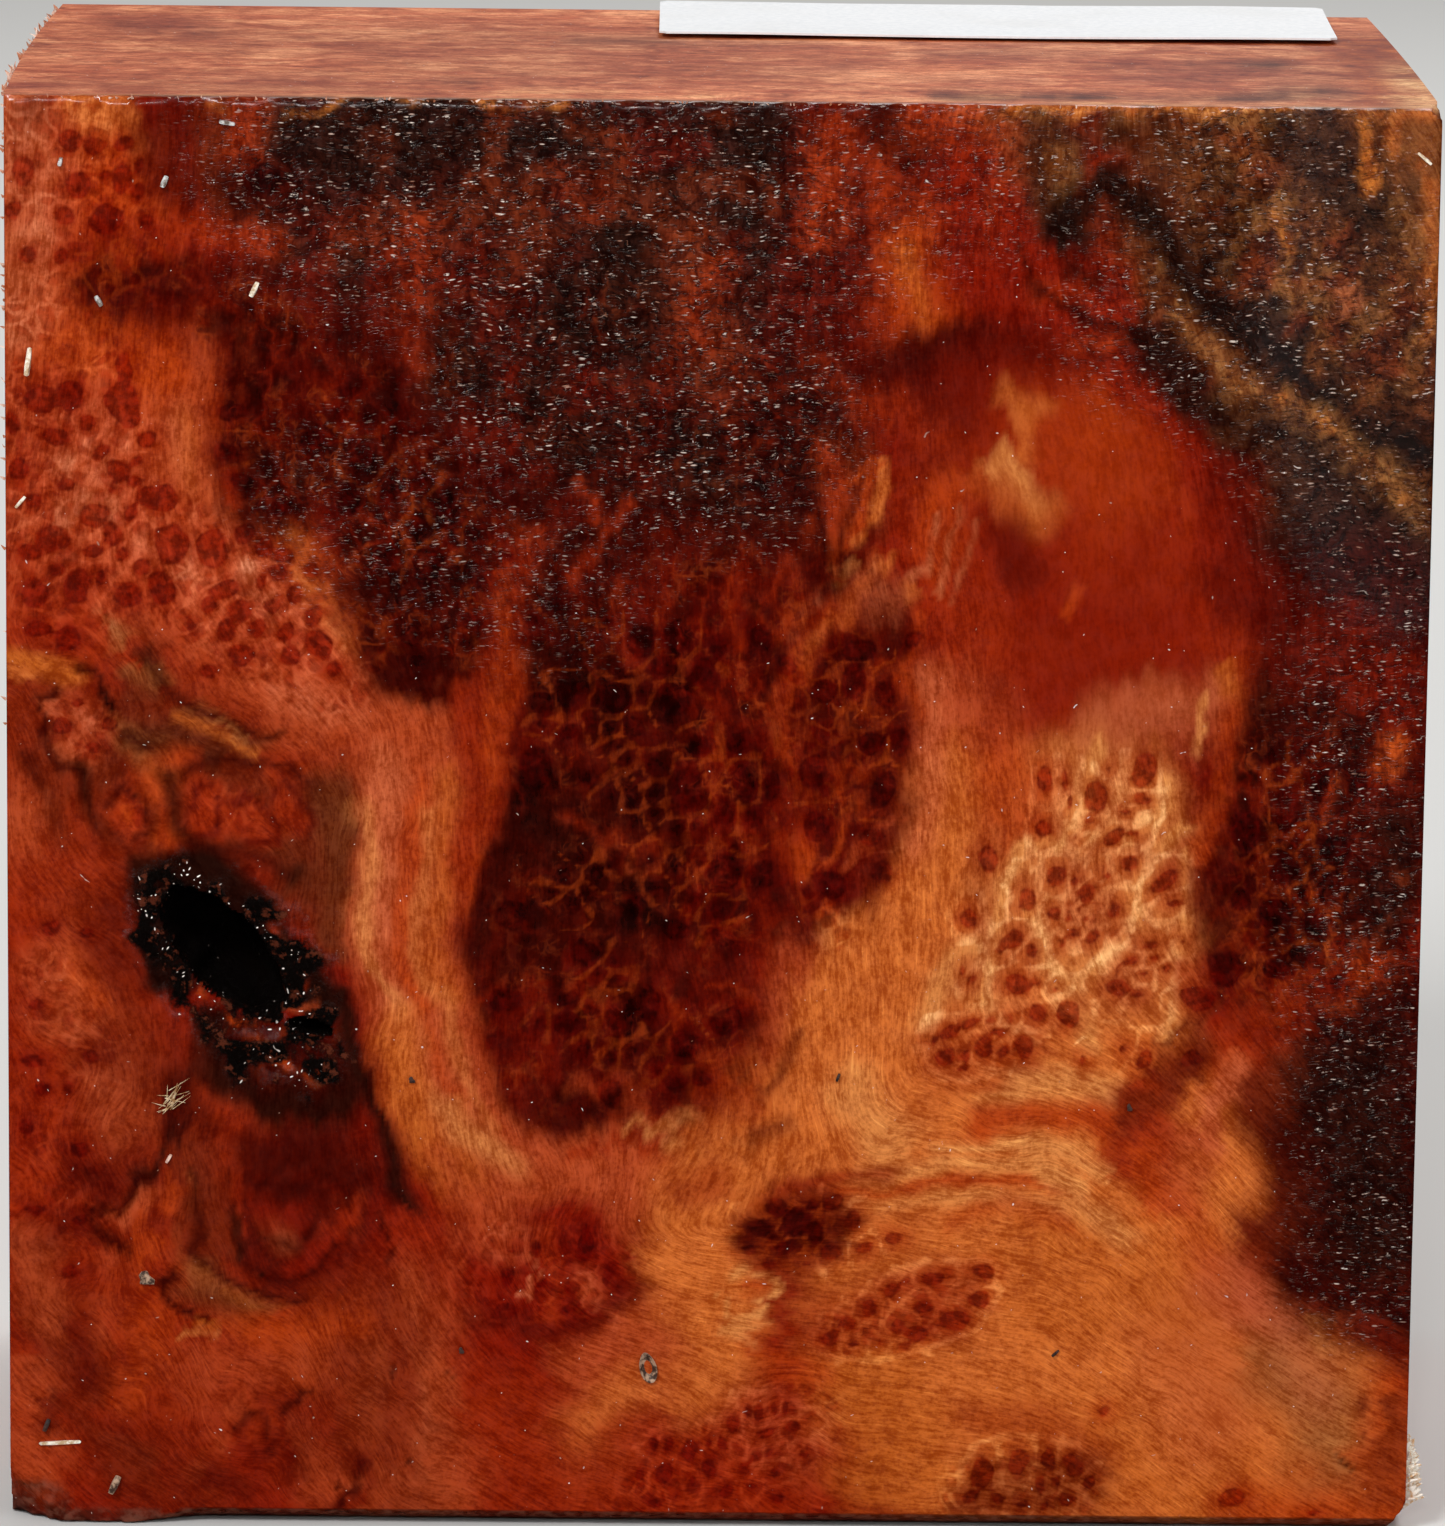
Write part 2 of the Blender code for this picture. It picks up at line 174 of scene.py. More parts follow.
STAINS = [
    # left edge, top to bottom
    ("salmon", 9, 4, 1, [(3, 156), (4, 124), (8, 104)]),
    ("salmon", 8, 3, 1, [(10, 124), (12, 106), (22, 103), (31, 100)]),
    ("tan", 3.5, 3, 0.7, [(9, 156), (13, 151)]),
    ("haze", 2.4, 2, 0.7, [(1, 155), (2, 142), (3, 132)]),
    ("orange", 4.5, 3, 0.9, [(14, 147), (11, 140)]),
    ("orange", 3, 2, 0.8, [(5, 135), (9, 131)]),
    ("orange", 3, 2, 0.7, [(6, 128), (12, 128)]),
    ("wine", 2.2, 2, 0.6, [(2, 153)]),
    ("wine", 4.5, 2, 0.9, [(18, 153), (19, 148)]),
    ("orange", 3.6, 2, 0.95, [(15, 130), (17, 123)]),
    ("orange", 3, 2.5, 0.8, [(18, 120), (19, 113)]),
    ("salmon", 2.2, 2, 0.9, [(16.6, 122), (18, 114), (22, 110)]),
    ("tan", 1.2, 1.4, 0.5, [(18.6, 121), (19.6, 114)]),
    ("salmon", 1.8, 1.2, 0.85, [(19.6, 131), (20.6, 121), (21.2, 112)]),
    ("orange", 0.8, 0.8, 0.7, [(21.4, 130), (21.8, 120), (22.2, 112)], 2),
    ("pink", 3, 2.4, 0.75, [(10.6, 121), (13.4, 113), (14, 108)], 3),
    ("haze", 2.4, 2, 0.8, [(8, 117), (9.6, 113), (6, 110)], 2.5),
    ("haze", 2, 1.8, 0.8, [(20, 104), (26, 105), (30, 101)], 2.5),
    ("ember", 3, 2.2, 0.7, [(1, 126), (7, 124)], 3),
    ("ember", 1.6, 1.4, 0.6, [(10, 104), (14, 101), (20, 97)], 3),
    ("wine", 2, 1.6, 0.5, [(22, 116), (25, 111)], 2),
    ("pink", 1, 1, 0.5, [(17, 122), (18, 115)]),
    ("pink", 3.5, 3, 0.5, [(3, 148), (3, 134)]),
    ("orange", 2.6, 2, 0.8, [(30, 112), (33, 104)]),
    ("tan", 1.6, 1.4, 0.7, [(32, 108), (34, 101), (36, 97)]),
    ("salmon", 2.2, 1.6, 0.9, [(33, 98), (36, 94), (40, 91.5)]),
    ("pink", 1, 1, 0.7, [(34, 92), (37, 93.3), (39.5, 93.6)]),
    ("wine", 2.4, 2.4, 0.7, [(39, 101), (42, 95)], 2),
    ("ember", 3, 2, 0.6, [(2, 118), (2, 108)], 4),
    # middle left
    ("ember", 10, 4, 0.9, [(4, 94), (4, 76)]),
    ("rust", 6, 4, 0.6, [(3, 90), (6, 82)]),
    ("ember", 7, 3, 0.9, [(24, 90), (36, 88)]),
    ("salmon", 3.5, 2.5, 0.8, [(22, 95), (32, 92), (38, 90)]),
    ("pink", 1.6, 1.6, 0.5, [(30, 91), (36, 89), (40, 86)]),
    ("rust", 10, 3, 1, [(14, 82), (28, 78)]),
    ("ember", 6, 3, 0.6, [(12, 78), (26, 78)], 2.5),
    ("ember", 2.6, 2, 0.8, [(30, 84), (38, 83)]),
    ("salmon", 2, 1.8, 0.6, [(29, 87.6), (36, 86), (40, 83)]),
    ("brown", 2, 1.8, 0.6, [(12, 97), (16, 93), (20, 88.4), (26, 86)], 2.5),
    ("bark gold", 0.9, 0.9, 0.7, [(11, 98.6), (15, 95), (18, 90.4), (23, 87), (28, 85.6)], 2),
    ("umber", 1.6, 1.5, 0.6, [(17, 86.6), (21, 84), (26, 83)], 2.5),
    ("gold", 0.5, 0.6, 0.7, [(18, 88.4), (22, 86), (27, 84.6)]),
    ("brown", 3, 2.2, 0.8, [(35.6, 80), (36.4, 66)]),
    ("bark gold", 0.8, 0.8, 0.6, [(36.6, 82), (37.4, 74), (37.6, 66)], 2),
    ("umber", 2, 2, 0.45, [(29, 74.4), (31, 71)]),
    ("gold", 1.4, 1.2, 0.9, [(0, 95.4), (4, 94.4), (7.6, 93.6)]),
    ("tan", 0.5, 0.5, 0.8, [(0, 93.6), (3.4, 92.6)]),
    ("bark gold", 1.2, 1.2, 0.7, [(13, 87.6), (16, 84.6), (17, 82)]),
    ("salmon", 4.4, 1.6, 0.75, [(8.4, 87)]),
    ("pink", 1.4, 1.2, 0.5, [(7, 88.4), (10, 88)]),
    ("maroon", 0.6, 0.5, 0.9, [(8, 94.8), (10.6, 94.2), (12, 92.4), (13.4, 89.4)]),
    ("black", 0.5, 0.5, 0.8, [(12, 92.2), (13.2, 90)]),
    ("maroon", 0.6, 0.5, 0.85, [(6.4, 91.4), (4.2, 89.4), (3.4, 86.6), (4.6, 83.8), (7.4, 82)]),
    ("maroon", 0.5, 0.5, 0.8, [(15, 95.7), (17.3, 91.6), (20, 89.2), (25, 87.6), (30, 87)]),
    ("maroon", 0.9, 0.8, 0.9, [(14.6, 86), (16.4, 84.4)]),
    ("black", 0.9, 0.8, 0.85, [(8.6, 82), (8.4, 77.6), (10.2, 73.6), (14.4, 72), (18, 71.4)]),
    ("ember", 2.4, 1, 0.9, [(12.8, 77.6)]),
    ("maroon", 0.45, 0.4, 0.8, [(10.8, 78), (12.6, 80.2), (15, 78.6), (14.8, 75.6), (12.4, 74.8)]),
    ("orange", 0.8, 0.7, 0.8, [(12.6, 77.4)]),
    ("orange", 1.6, 1.4, 0.7, [(16.6, 79.6), (18.6, 83)]),
    ("orange", 1.4, 1.2, 0.7, [(16.6, 74.4), (18.2, 76)]),
    ("ember", 2.6, 1, 0.9, [(22, 78)]),
    ("ember", 2.4, 1, 0.8, [(26.4, 77.6)]),
    ("ember", 1.8, 1, 0.8, [(30.8, 78.8)]),
    ("wine", 0.4, 0.4, 0.9, [(20.2, 78.6), (21.6, 80.4), (23.8, 79), (23.2, 76.4), (21, 76)]),
    ("wine", 0.4, 0.4, 0.9, [(25, 78.8), (26.8, 80), (28.6, 78.4), (28, 76), (25.8, 75.6)]),
    ("wine", 0.4, 0.4, 0.7, [(29.4, 80), (31.6, 81), (33, 79), (32.2, 76.8)]),
    ("black", 0.9, 0.9, 0.8, [(18, 81.4), (18.8, 77.4), (21.6, 74.2), (25, 74.6), (28, 73.8), (31, 72)]),
    ("maroon", 0.6, 0.6, 0.8, [(19.4, 81.6), (23, 83), (27.6, 82.8), (31, 83.6), (34, 81)]),
    ("maroon", 0.8, 0.8, 0.7, [(2, 84), (3.4, 79), (6, 75), (11, 71.6)]),
    ("red", 3, 2.5, 0.6, [(22, 71.6), (26, 71.4)]),
    ("salmon", 3.4, 2.4, 0.8, [(0, 77), (3, 72)]),
    ("ember", 8.5, 4, 0.9, [(6, 67), (7, 54)]),
    ("rust", 6, 4, 0.6, [(10, 66), (10, 52)]),
    ("salmon", 3.6, 3, 0.75, [(4, 63), (6, 56)]),
    ("pink", 1.6, 1.6, 0.4, [(3, 66), (5, 62)], 2),
    ("orange", 2, 2, 0.6, [(6, 62), (9, 58)]),
    ("wine", 3, 3, 0.6, [(12, 68), (14, 62)]),
    # dark band along the top
    ("soot", 17, 3, 1, [(44, 150), (60, 141), (74, 142)]),
    ("soot", 8, 3, 1, [(32, 150), (36, 140), (30, 132)]),
    ("soot", 12, 3, 1, [(40, 134), (60, 128), (78, 124)]),
    ("maroon", 10, 3, 1, [(33, 124), (52, 122), (76, 112)]),
    ("maroon", 6, 2.5, 1, [(28, 119), (29, 114)]),
    ("maroon", 7, 2.5, 1, [(44, 112), (45, 96)]),
    ("wine", 13, 8, 0.9, [(44, 150), (60, 141), (74, 142)], 5),
    ("wine", 12, 6, 0.9, [(36, 134), (58, 126)], 4),
    ("red", 10, 6, 0.45, [(50, 127), (72, 124)], 2.6),
    ("black", 14, 8, 0.7, [(46, 150), (62, 136), (78, 146)], 6.5),
    ("rust", 10, 4, 0.55, [(48, 153), (64, 151), (76, 150)], 3),
    ("wine", 8, 4, 0.8, [(36, 122), (56, 116), (70, 112)], 3.5),
    ("black", 6, 4, 0.7, [(48, 126), (64, 122), (76, 114)], 4),
    ("rust", 3.6, 2, 1, [(25, 156), (24, 147)]),
    ("ember", 2, 1.5, 0.8, [(26, 155), (25, 150)]),
    ("ember", 1.8, 1.4, 0.9, [(8, 140.6), (18, 141.6), (28, 142)]),
    ("maroon", 3.4, 2, 0.9, [(25, 147), (29, 147)]),
    ("wine", 3.2, 1.6, 0.95, [(12, 135), (20, 135.4)]),
    ("maroon", 0.8, 0.7, 0.6, [(8, 136.5), (12, 138.4), (16.6, 137.6), (19.6, 134), (20.6, 130.5)]),
    ("maroon", 2, 0.8, 0.9, [(25.4, 132), (25.6, 122), (26.4, 114)]),
    ("rust", 1.6, 1.2, 0.8, [(25, 130), (25, 120), (27, 113)], 1.3),
    ("ember", 0.9, 0.8, 0.8, [(23.4, 129), (23.6, 120), (24.6, 112)], 1.6),
    ("rust", 3, 2.2, 0.6, [(36, 140), (40, 142), (46, 142)]),
    ("ember", 1.6, 2, 0.7, [(43, 142), (43.5, 135), (43, 128)]),
    ("rust", 2.6, 2, 0.6, [(56, 146), (55.5, 139)]),
    ("rust", 3.6, 2.5, 0.9, [(72, 140), (73.5, 132), (76, 127)]),
    ("ember", 1.4, 1.6, 0.7, [(76, 138), (73.5, 134), (73, 130)]),
    ("black", 3.2, 2, 0.8, [(66, 140), (67, 132)]),
    ("black", 3.2, 2, 0.8, [(60, 135), (58, 127)]),
    ("black", 3, 2, 0.8, [(82, 140), (84, 134)]),
    ("black", 3, 2, 0.8, [(48, 130), (50, 126)]),
    ("black", 4.5, 2.5, 0.7, [(74, 116), (78, 110)]),
    # upper right of the band
    ("wine", 8, 3, 0.9, [(90, 150), (90, 140), (88, 130)]),
    ("ember", 2.8, 2, 0.9, [(86.5, 152), (86.5, 142)]),
    ("ember", 1.6, 1.4, 0.8, [(92.5, 150), (93, 144)]),
    ("maroon", 3, 2, 0.9, [(92, 154), (97, 151)]),
    ("ember", 4.5, 2.5, 0.9, [(97, 141), (97, 133)]),
    ("orange", 2.4, 2, 0.9, [(96, 139.5), (98, 133), (101, 134)]),
    ("gold", 1, 1.2, 0.5, [(96, 139), (98, 134)]),
    ("ember", 4, 2.5, 0.9, [(97, 154), (103, 153), (106, 149)]),
    ("salmon", 1.6, 1.6, 0.6, [(99, 155), (105, 152), (107, 149)]),
    ("red", 4, 2.5, 0.9, [(102, 147), (104, 142)]),
    ("ember", 1.2, 1, 0.8, [(104.6, 146), (104.4, 141)]),
    ("red", 6, 3, 0.8, [(105, 139), (106, 133)]),
    ("umber", 4, 2, 0.9, [(110, 153), (112, 146)]),
    ("bark gold", 1.4, 1.4, 0.7, [(111.5, 151), (113, 147)]),
    ("black", 2.4, 1.6, 0.9, [(113.5, 145), (113.4, 140)]),
    ("umber", 3.5, 2, 0.9, [(118, 154), (122, 151)]),
    ("maroon", 3.8, 2, 1, [(82, 121), (90, 126.5), (98, 128.6), (108, 130)]),
    ("maroon", 2.2, 1.4, 0.8, [(108, 130), (120, 129)]),
    ("wine", 2, 1.6, 0.6, [(89, 122), (94, 123)]),
    ("ember", 3.2, 1.3, 0.95, [(118, 146), (118.6, 139), (118, 134)]),
    ("red", 5, 2, 0.95, [(108, 136), (116, 136)]),
    ("ember", 1.4, 1.4, 0.7, [(110, 136), (114, 136.5)]),
    ("maroon", 0.7, 0.5, 0.9, [(119, 148.3), (121.6, 145), (121.8, 138), (120.8, 131)]),
    ("maroon", 0.7, 0.6, 0.85, [(107, 140), (110, 136), (115, 133.6), (120, 132.4)]),
    ("ember", 0.8, 0.7, 0.8, [(113, 131.2), (119.6, 130.4)]),
    ("black", 0.8, 0.8, 0.7, [(113, 139), (116, 138)]),
    # smooth red heart
    ("red", 14, 4, 1, [(110, 116), (116, 108), (110, 99)]),
    ("red", 9, 3, 1, [(120, 120), (123, 108), (123, 99)]),
    ("red", 5, 3, 0.9, [(96, 121), (97, 108)]),
    ("ember", 8, 6, 0.65, [(114, 119), (120, 112), (121, 104)]),
    ("ember", 5, 4, 0.5, [(101, 119), (100, 112)]),
    ("orange", 5, 4, 0.55, [(112, 121), (118, 116)]),
    ("ember", 5, 4, 0.6, [(108, 104), (114, 107)]),
    ("wine", 2, 2, 0.4, [(106, 99), (112, 98)]),
    ("tan", 1.1, 1, 0.8, [(107.6, 124.2), (110.4, 124.6)]),
    ("tan", 0.9, 1, 0.8, [(108.8, 124), (109.6, 121), (109.4, 119.6)]),
    ("cream", 1.2, 1.3, 0.9, [(105.4, 118.2), (107.4, 116.6), (109.4, 114.6)]),
    ("cream", 1, 1, 0.9, [(107, 118.8), (108.6, 116.6)]),
    ("tan", 2.2, 1.8, 0.6, [(104, 116), (107, 114), (109.6, 112.8)]),
    ("ember", 5, 4, 0.8, [(100, 114), (103, 99)]),
    ("orange", 2.4, 2.2, 0.7, [(101, 116), (100, 108)]),
    ("haze", 0.35, 0.4, 0.8, [(100.4, 112.4), (98.6, 107.6), (96.6, 103.6)]),
    ("haze", 0.3, 0.4, 0.8, [(102.4, 111.4), (101, 108.4), (99.4, 104.4)]),
    ("haze", 0.3, 0.4, 0.7, [(103.8, 110.4), (102.8, 106.6), (100.8, 103)]),
    ("tan", 0.8, 0.8, 0.6, [(96.4, 102.6), (95, 98.6)], 1.5),
    ("wine", 4, 4, 0.7, [(91, 127), (99, 125), (106, 129)]),
    ("wine", 3, 3, 0.5, [(97, 119), (101, 122)]),
    ("ember", 2, 2, 0.6, [(88, 126.6), (97, 122.6), (103, 121)]),
    ("red", 5, 5, 0.5, [(106, 108), (110, 102), (118, 100)]),
    ("orange", 3.4, 3, 0.5, [(112, 124), (118, 119), (123, 112)], 4),
    ("orange", 0.6, 0.6, 0.8, [(113.2, 101.2), (114.8, 104.2)]),
    ("wine", 2.4, 1.8, 0.7, [(107, 110), (108, 105)]),
    # keyhole in the dark left of the heart
    ("maroon", 7, 3, 1, [(84, 118), (85, 110)]),
    ("rust", 3, 1.6, 0.8, [(89, 118), (91, 112)]),
    ("orange", 0.6, 0.6, 0.9, [(89.6, 109.4), (91.2, 112.6), (91.8, 116.4)]),
    ("tan", 0.6, 0.5, 0.9, [(90.6, 110), (92.6, 112), (93.4, 115.4), (93, 117.8)]),
    ("cream", 0.5, 0.45, 0.85, [(88.5, 107.4), (89.2, 106.3), (90.4, 107.4)]),
    ("orange", 0.4, 0.4, 0.75, [(93, 117.6), (91, 117.8), (89, 115.8), (88, 112.4), (87.9, 109.4),
        (88.6, 107)]),
    ("ember", 1.2, 1.2, 0.8, [(87, 118.6), (88.6, 115.6), (87.6, 112)]),
    ("ember", 0.8, 0.8, 0.7, [(84.4, 110), (84, 106), (85, 103)]),
    # right side, top to bottom
    ("brown", 16, 4, 1, [(136, 152), (146, 140), (150, 118)]),
    ("rust", 10, 5, 0.7, [(130, 144), (148, 134)], 3),
    ("black", 12, 4, 0.55, [(126, 148), (138, 136), (150, 124)], 1.6),
    ("bark gold", 9, 4, 0.35, [(136, 146), (146, 134)], 1.8),
    ("black", 3, 1.6, 0.8, [(136.5, 153.5), (141, 150), (147, 145)]),
    ("umber", 4.5, 3, 0.6, [(136.5, 153.5), (141, 150), (147, 145)], 2),
    ("brown", 3.2, 1.6, 0.9, [(121.6, 142), (125.4, 134.5), (131, 128)]),
    ("bark gold", 1, 0.9, 0.7, [(122, 141), (125, 134), (129.6, 129)], 2),
    ("bark gold", 0.8, 0.8, 0.5, [(124.5, 139), (128, 133), (132, 129)], 2),
    ("bark gold", 1.6, 1.2, 0.8, [(133.4, 146.6), (136, 143.4), (138.4, 140.6)], 2.5),
    ("gold", 0.7, 0.7, 0.7, [(134, 145.6), (136.2, 142.6)]),
    ("bark gold", 1.3, 1.2, 0.7, [(136, 138), (139, 133.6), (141, 129)], 2.5),
    ("pink", 0.8, 0.8, 0.6, [(142.4, 137.4), (142.8, 134.8)]),
    ("gold", 0.8, 0.6, 1, [(144, 156), (144.3, 148.8)]),
    ("bark gold", 3.4, 3, 0.9, [(150.6, 156), (151.6, 142)]),
    ("tan", 2, 1.8, 0.8, [(147.6, 153.6), (151.6, 148)], 1.6),
    ("tan", 0.9, 0.8, 0.7, [(151.8, 146), (151.8, 132)]),
    ("umber", 1.2, 0.8, 0.8, [(148.4, 150.6), (150.6, 146.4)]),
    ("black", 1.8, 1.3, 0.95, [(112, 142), (117, 147), (122.6, 143.6), (129.4, 135), (134.6, 130.4),
        (139, 125.6), (144, 120.6), (151.6, 118)]),
    ("black", 3.6, 2, 0.8, [(127, 139), (134, 133), (141, 127)], 1.8),
    ("bark gold", 2.6, 1.6, 0.75, [(131, 126), (136, 123), (142, 118), (149, 112.6)]),
    ("brown", 1, 1, 0.7, [(131, 131), (137, 126), (143, 121)], 2),
    ("gold", 0.9, 0.9, 0.7, [(136, 124), (143, 117.6), (149, 113)], 1.6),
    ("umber", 1, 1, 0.6, [(129, 128), (136, 121.6), (145, 114)], 1.6),
    ("umber", 0.6, 0.6, 0.6, [(135, 124), (141, 118.4), (147, 113)]),
    ("black", 2.6, 1.6, 0.95, [(123, 131), (125.6, 126), (130, 123), (134.6, 118.4), (139, 115),
        (145.6, 111.6), (152, 106.6)]),
    ("umber", 2.6, 1.8, 0.7, [(131, 122), (138, 116.6), (150, 109)], 1.6),
    ("wine", 2.5, 2, 0.8, [(131, 116), (134, 110), (140, 105)]),
    ("bark gold", 1.7, 1.5, 0.8, [(104, 156), (152, 156)], 2.4),
    ("tan", 0.8, 0.7, 0.9, [(104, 156), (152, 156)], 1.6),
    ("straw", 0.5, 0.5, 0.9, [(108, 156), (152, 156)]),
    # Painted highlight: the pale line along the left of the top arris is frayed fibre, partly lightened as a
    # painted edge highlight
    ("tan", 0.6, 0.6, 0.6, [(0, 156), (60, 156)], 2.5),
    ("soot", 7, 3, 1, [(141, 108), (150, 104)]),
    ("maroon", 11, 2.5, 1, [(143, 100), (142, 86), (141, 72)]),
    ("maroon", 5, 1.6, 1, [(136, 92), (134.5, 80), (133, 66)]),
    ("red", 4, 3, 0.5, [(142, 99), (147, 95)]),
    ("wine", 5, 2.5, 0.7, [(132, 104), (138, 98)]),
    ("black", 3, 2.5, 0.7, [(134, 90), (133, 84)]),
    ("black", 3, 2.5, 0.6, [(147, 80), (148, 68)]),
    ("wine", 9, 4, 0.7, [(137, 82), (137, 66)], 3),
    ("rust", 6, 3, 0.6, [(133, 72), (139, 64)], 2.5),
    ("red", 2.2, 1.8, 0.5, [(150, 95), (149, 88), (147, 82)]),
    ("orange", 1.2, 1.2, 0.9, [(148.6, 88), (147.6, 84)]),
    ("ember", 0.6, 0.7, 0.8, [(135, 85), (134.8, 80.5)]),
    ("orange", 0.5, 0.5, 0.8, [(142.6, 83.6), (142, 80.4)]),
    ("ember", 0.6, 0.7, 0.8, [(139.2, 83.4), (138.8, 79.6)]),
    ("orange", 1.4, 1, 0.9, [(131.6, 93.6), (131, 88), (129.6, 81), (128.2, 74)]),
    ("maroon", 11, 3, 1, [(144, 56), (146, 40), (148, 30)]),
    ("rust", 4.5, 2.5, 0.9, [(136, 52), (134, 42), (136, 34)]),
    ("maroon", 3, 2.5, 0.6, [(139, 44), (140, 34)]),
    ("black", 5, 3, 0.7, [(145, 50), (148, 34)]),
    ("rust", 3, 2, 0.8, [(141, 22.6), (150, 19)]),
    ("ember", 3.4, 2, 0.95, [(128, 50), (134, 54.5), (140, 60), (146, 64)]),
    ("orange", 2.2, 1.8, 0.75, [(129, 50), (134, 54), (140, 59.6), (145, 63)], 2.5),
    ("rust", 1.6, 1.4, 0.7, [(140, 63), (145, 67), (149, 72)], 2),
    # tan flow from the heart down to the lower right
    ("ember", 4.5, 3, 0.8, [(104, 95), (112, 91)]),
    ("salmon", 2.6, 2.4, 0.8, [(98, 94), (99.6, 86)]),
    ("salmon", 6, 3, 1, [(103, 88), (101, 80)]),
    ("tan", 5, 2.2, 1, [(100.6, 82), (99, 70), (94, 58)]),
    ("pink", 1.6, 1.6, 0.7, [(98.6, 94), (98.6, 84), (97.6, 74)]),
    ("tan", 8, 2.5, 1, [(91, 56), (92, 48)]),
    ("tan", 7, 3, 1, [(84, 47), (78, 40)]),
    ("straw", 11, 3, 0.9, [(116, 79), (115, 68)]),
    ("straw", 10, 3, 0.9, [(118, 62), (108, 56)]),
    ("tan", 5, 2, 0.9, [(110, 58), (98, 50)]),
    ("orange", 4, 3, 0.8, [(106, 84), (108, 79)]),
    ("ember", 5.5, 2.5, 0.8, [(113, 93), (128, 94)]),
    ("red", 4, 3, 0.6, [(106, 92), (116, 95), (124, 97)]),
    ("tan", 14, 4, 1, [(108, 42), (116, 30), (120, 18)]),
    ("tan", 9, 3, 1, [(120, 50), (126, 40)]),
    ("gold", 8, 4, 0.6, [(116, 30), (122, 20)]),
    ("tan", 10, 4, 1, [(104, 12), (142, 8)]),
    ("gold", 5, 4, 0.5, [(110, 10), (140, 5)]),
    ("tan", 6, 3, 1, [(132, 18), (146, 10)]),
    ("pink", 3.4, 2, 0.7, [(131, 28), (136, 25)]),
    ("bark gold", 3.8, 3, 0.85, [(138, 18), (143, 13), (144, 8)]),
    ("haze", 2.4, 2.4, 0.5, [(139, 22), (142, 15)]),
    ("cream", 1.4, 1.4, 0.5, [(143, 21), (142.6, 16), (144, 10)], 2.5),
    ("orange", 4, 3, 0.8, [(151, 14), (150, 3), (136, 2)]),
    ("rust", 2.4, 2, 0.7, [(149, 19), (150.6, 12), (150.6, 6)], 3),
    ("wine", 2, 1.5, 0.8, [(144, 23.6), (149, 21)], 2),
    ("rust", 0.8, 0.7, 0.8, [(146.5, 13.8)]),
    ("rust", 0.8, 0.8, 0.8, [(149.4, 13.8)]),
    ("rust", 0.5, 0.5, 0.8, [(147.2, 11)]),
    ("rust", 0.9, 0.7, 0.6, [(150.2, 5.6)]),
    ("umber", 0.4, 0.4, 0.8, [(145, 9), (146, 8.4)]),
    ("pink", 6, 4, 0.4, [(128, 20), (130, 14)]),
    ("haze", 2.6, 2.4, 0.6, [(116.6, 88.6), (122, 91), (128.6, 91.4)]),
    ("pink", 1.4, 1.6, 0.5, [(119, 91), (125, 92.6)]),
    ("cream", 0.5, 0.4, 0.8, [(127.8, 92.4), (127.8, 88.8)]),
    ("gold", 1, 1, 0.8, [(130.6, 93.6), (131.2, 91)]),
    ("ember", 3, 1.5, 0.95, [(122, 46), (125, 50)]),
    ("ember", 3.6, 1.5, 0.95, [(121, 44.4), (124.4, 43.6)]),
    ("orange", 2.2, 1.5, 0.9, [(123.6, 41), (125, 38)]),
    ("rust", 1.6, 1.2, 0.8, [(119.6, 45), (124, 47), (128, 52)]),
    ("rust", 2.2, 1.4, 0.8, [(126, 52.6), (129, 53.6)]),
    ("rust", 0.5, 0.5, 0.9, [(124.5, 55), (128, 56.2), (131, 58.8)]),
    ("pink", 1.5, 1.2, 0.85, [(129.4, 44.6), (131, 48), (133.2, 50.8)]),
    ("salmon", 2.4, 1.6, 0.7, [(128.6, 44), (127.8, 38)]),
    ("cream", 2, 1.6, 0.8, [(107, 49.4), (113, 50), (119, 49)]),
    ("cream", 3, 2, 0.7, [(95, 44), (90, 50)]),
    ("orange", 1.7, 1.2, 0.9, [(103, 45.6), (111, 45.8), (119, 45.2)]),
    ("cream", 0.8, 0.7, 0.8, [(100, 42.6), (112, 42.5), (118, 41.8)]),
    ("cream", 0.9, 0.8, 0.75, [(92, 40.2), (104, 40.1), (115, 39.6)]),
    ("orange", 0.6, 0.5, 0.85, [(91, 38.4), (103, 38.1), (116, 38.3)]),
    ("cream", 0.8, 0.8, 0.7, [(92, 36.6), (104, 36.4), (114, 36)]),
    ("cream", 1.5, 1.4, 0.7, [(110, 42), (116, 37.6), (120.6, 33)]),
    ("orange", 1, 1.2, 0.6, [(102, 34), (108, 36), (114, 35)]),
    ("orange", 2, 2, 0.5, [(128, 36), (129, 30)]),
    # cream walls between the pale eyes
    ("cream", 0.8, 0.7, 0.9, [(117, 86), (116.4, 83.6), (114.8, 80), (113.4, 76.4)]),
    ("cream", 0.7, 0.6, 0.9, [(113.4, 76), (109, 75), (107.4, 71), (106.2, 67), (105.4, 62), (107, 58.6),
        (111, 55.6)]),
    ("cream", 0.9, 0.8, 0.9, [(110.6, 67), (112, 63), (114, 61), (116, 58), (117, 54.6)]),
    ("cream", 0.8, 0.8, 0.9, [(116, 62.4), (119, 64.6), (120.6, 68), (122, 71), (124, 75), (127, 79)]),
    ("cream", 0.8, 0.8, 0.8, [(123.6, 84.6), (124, 80.6), (122, 77), (118.6, 75.6), (115.6, 74.6)]),
    ("cream", 0.6, 0.6, 0.8, [(126.6, 74), (126.8, 68), (125.6, 62), (125, 56)]),
    ("cream", 1.2, 1, 0.7, [(103, 66), (100.6, 62), (99, 58)]),
    ("ember", 2.4, 1.8, 0.35, [(109, 64), (109, 60)]),
    ("ember", 2.6, 2, 0.35, [(115.6, 71), (116, 67)]),
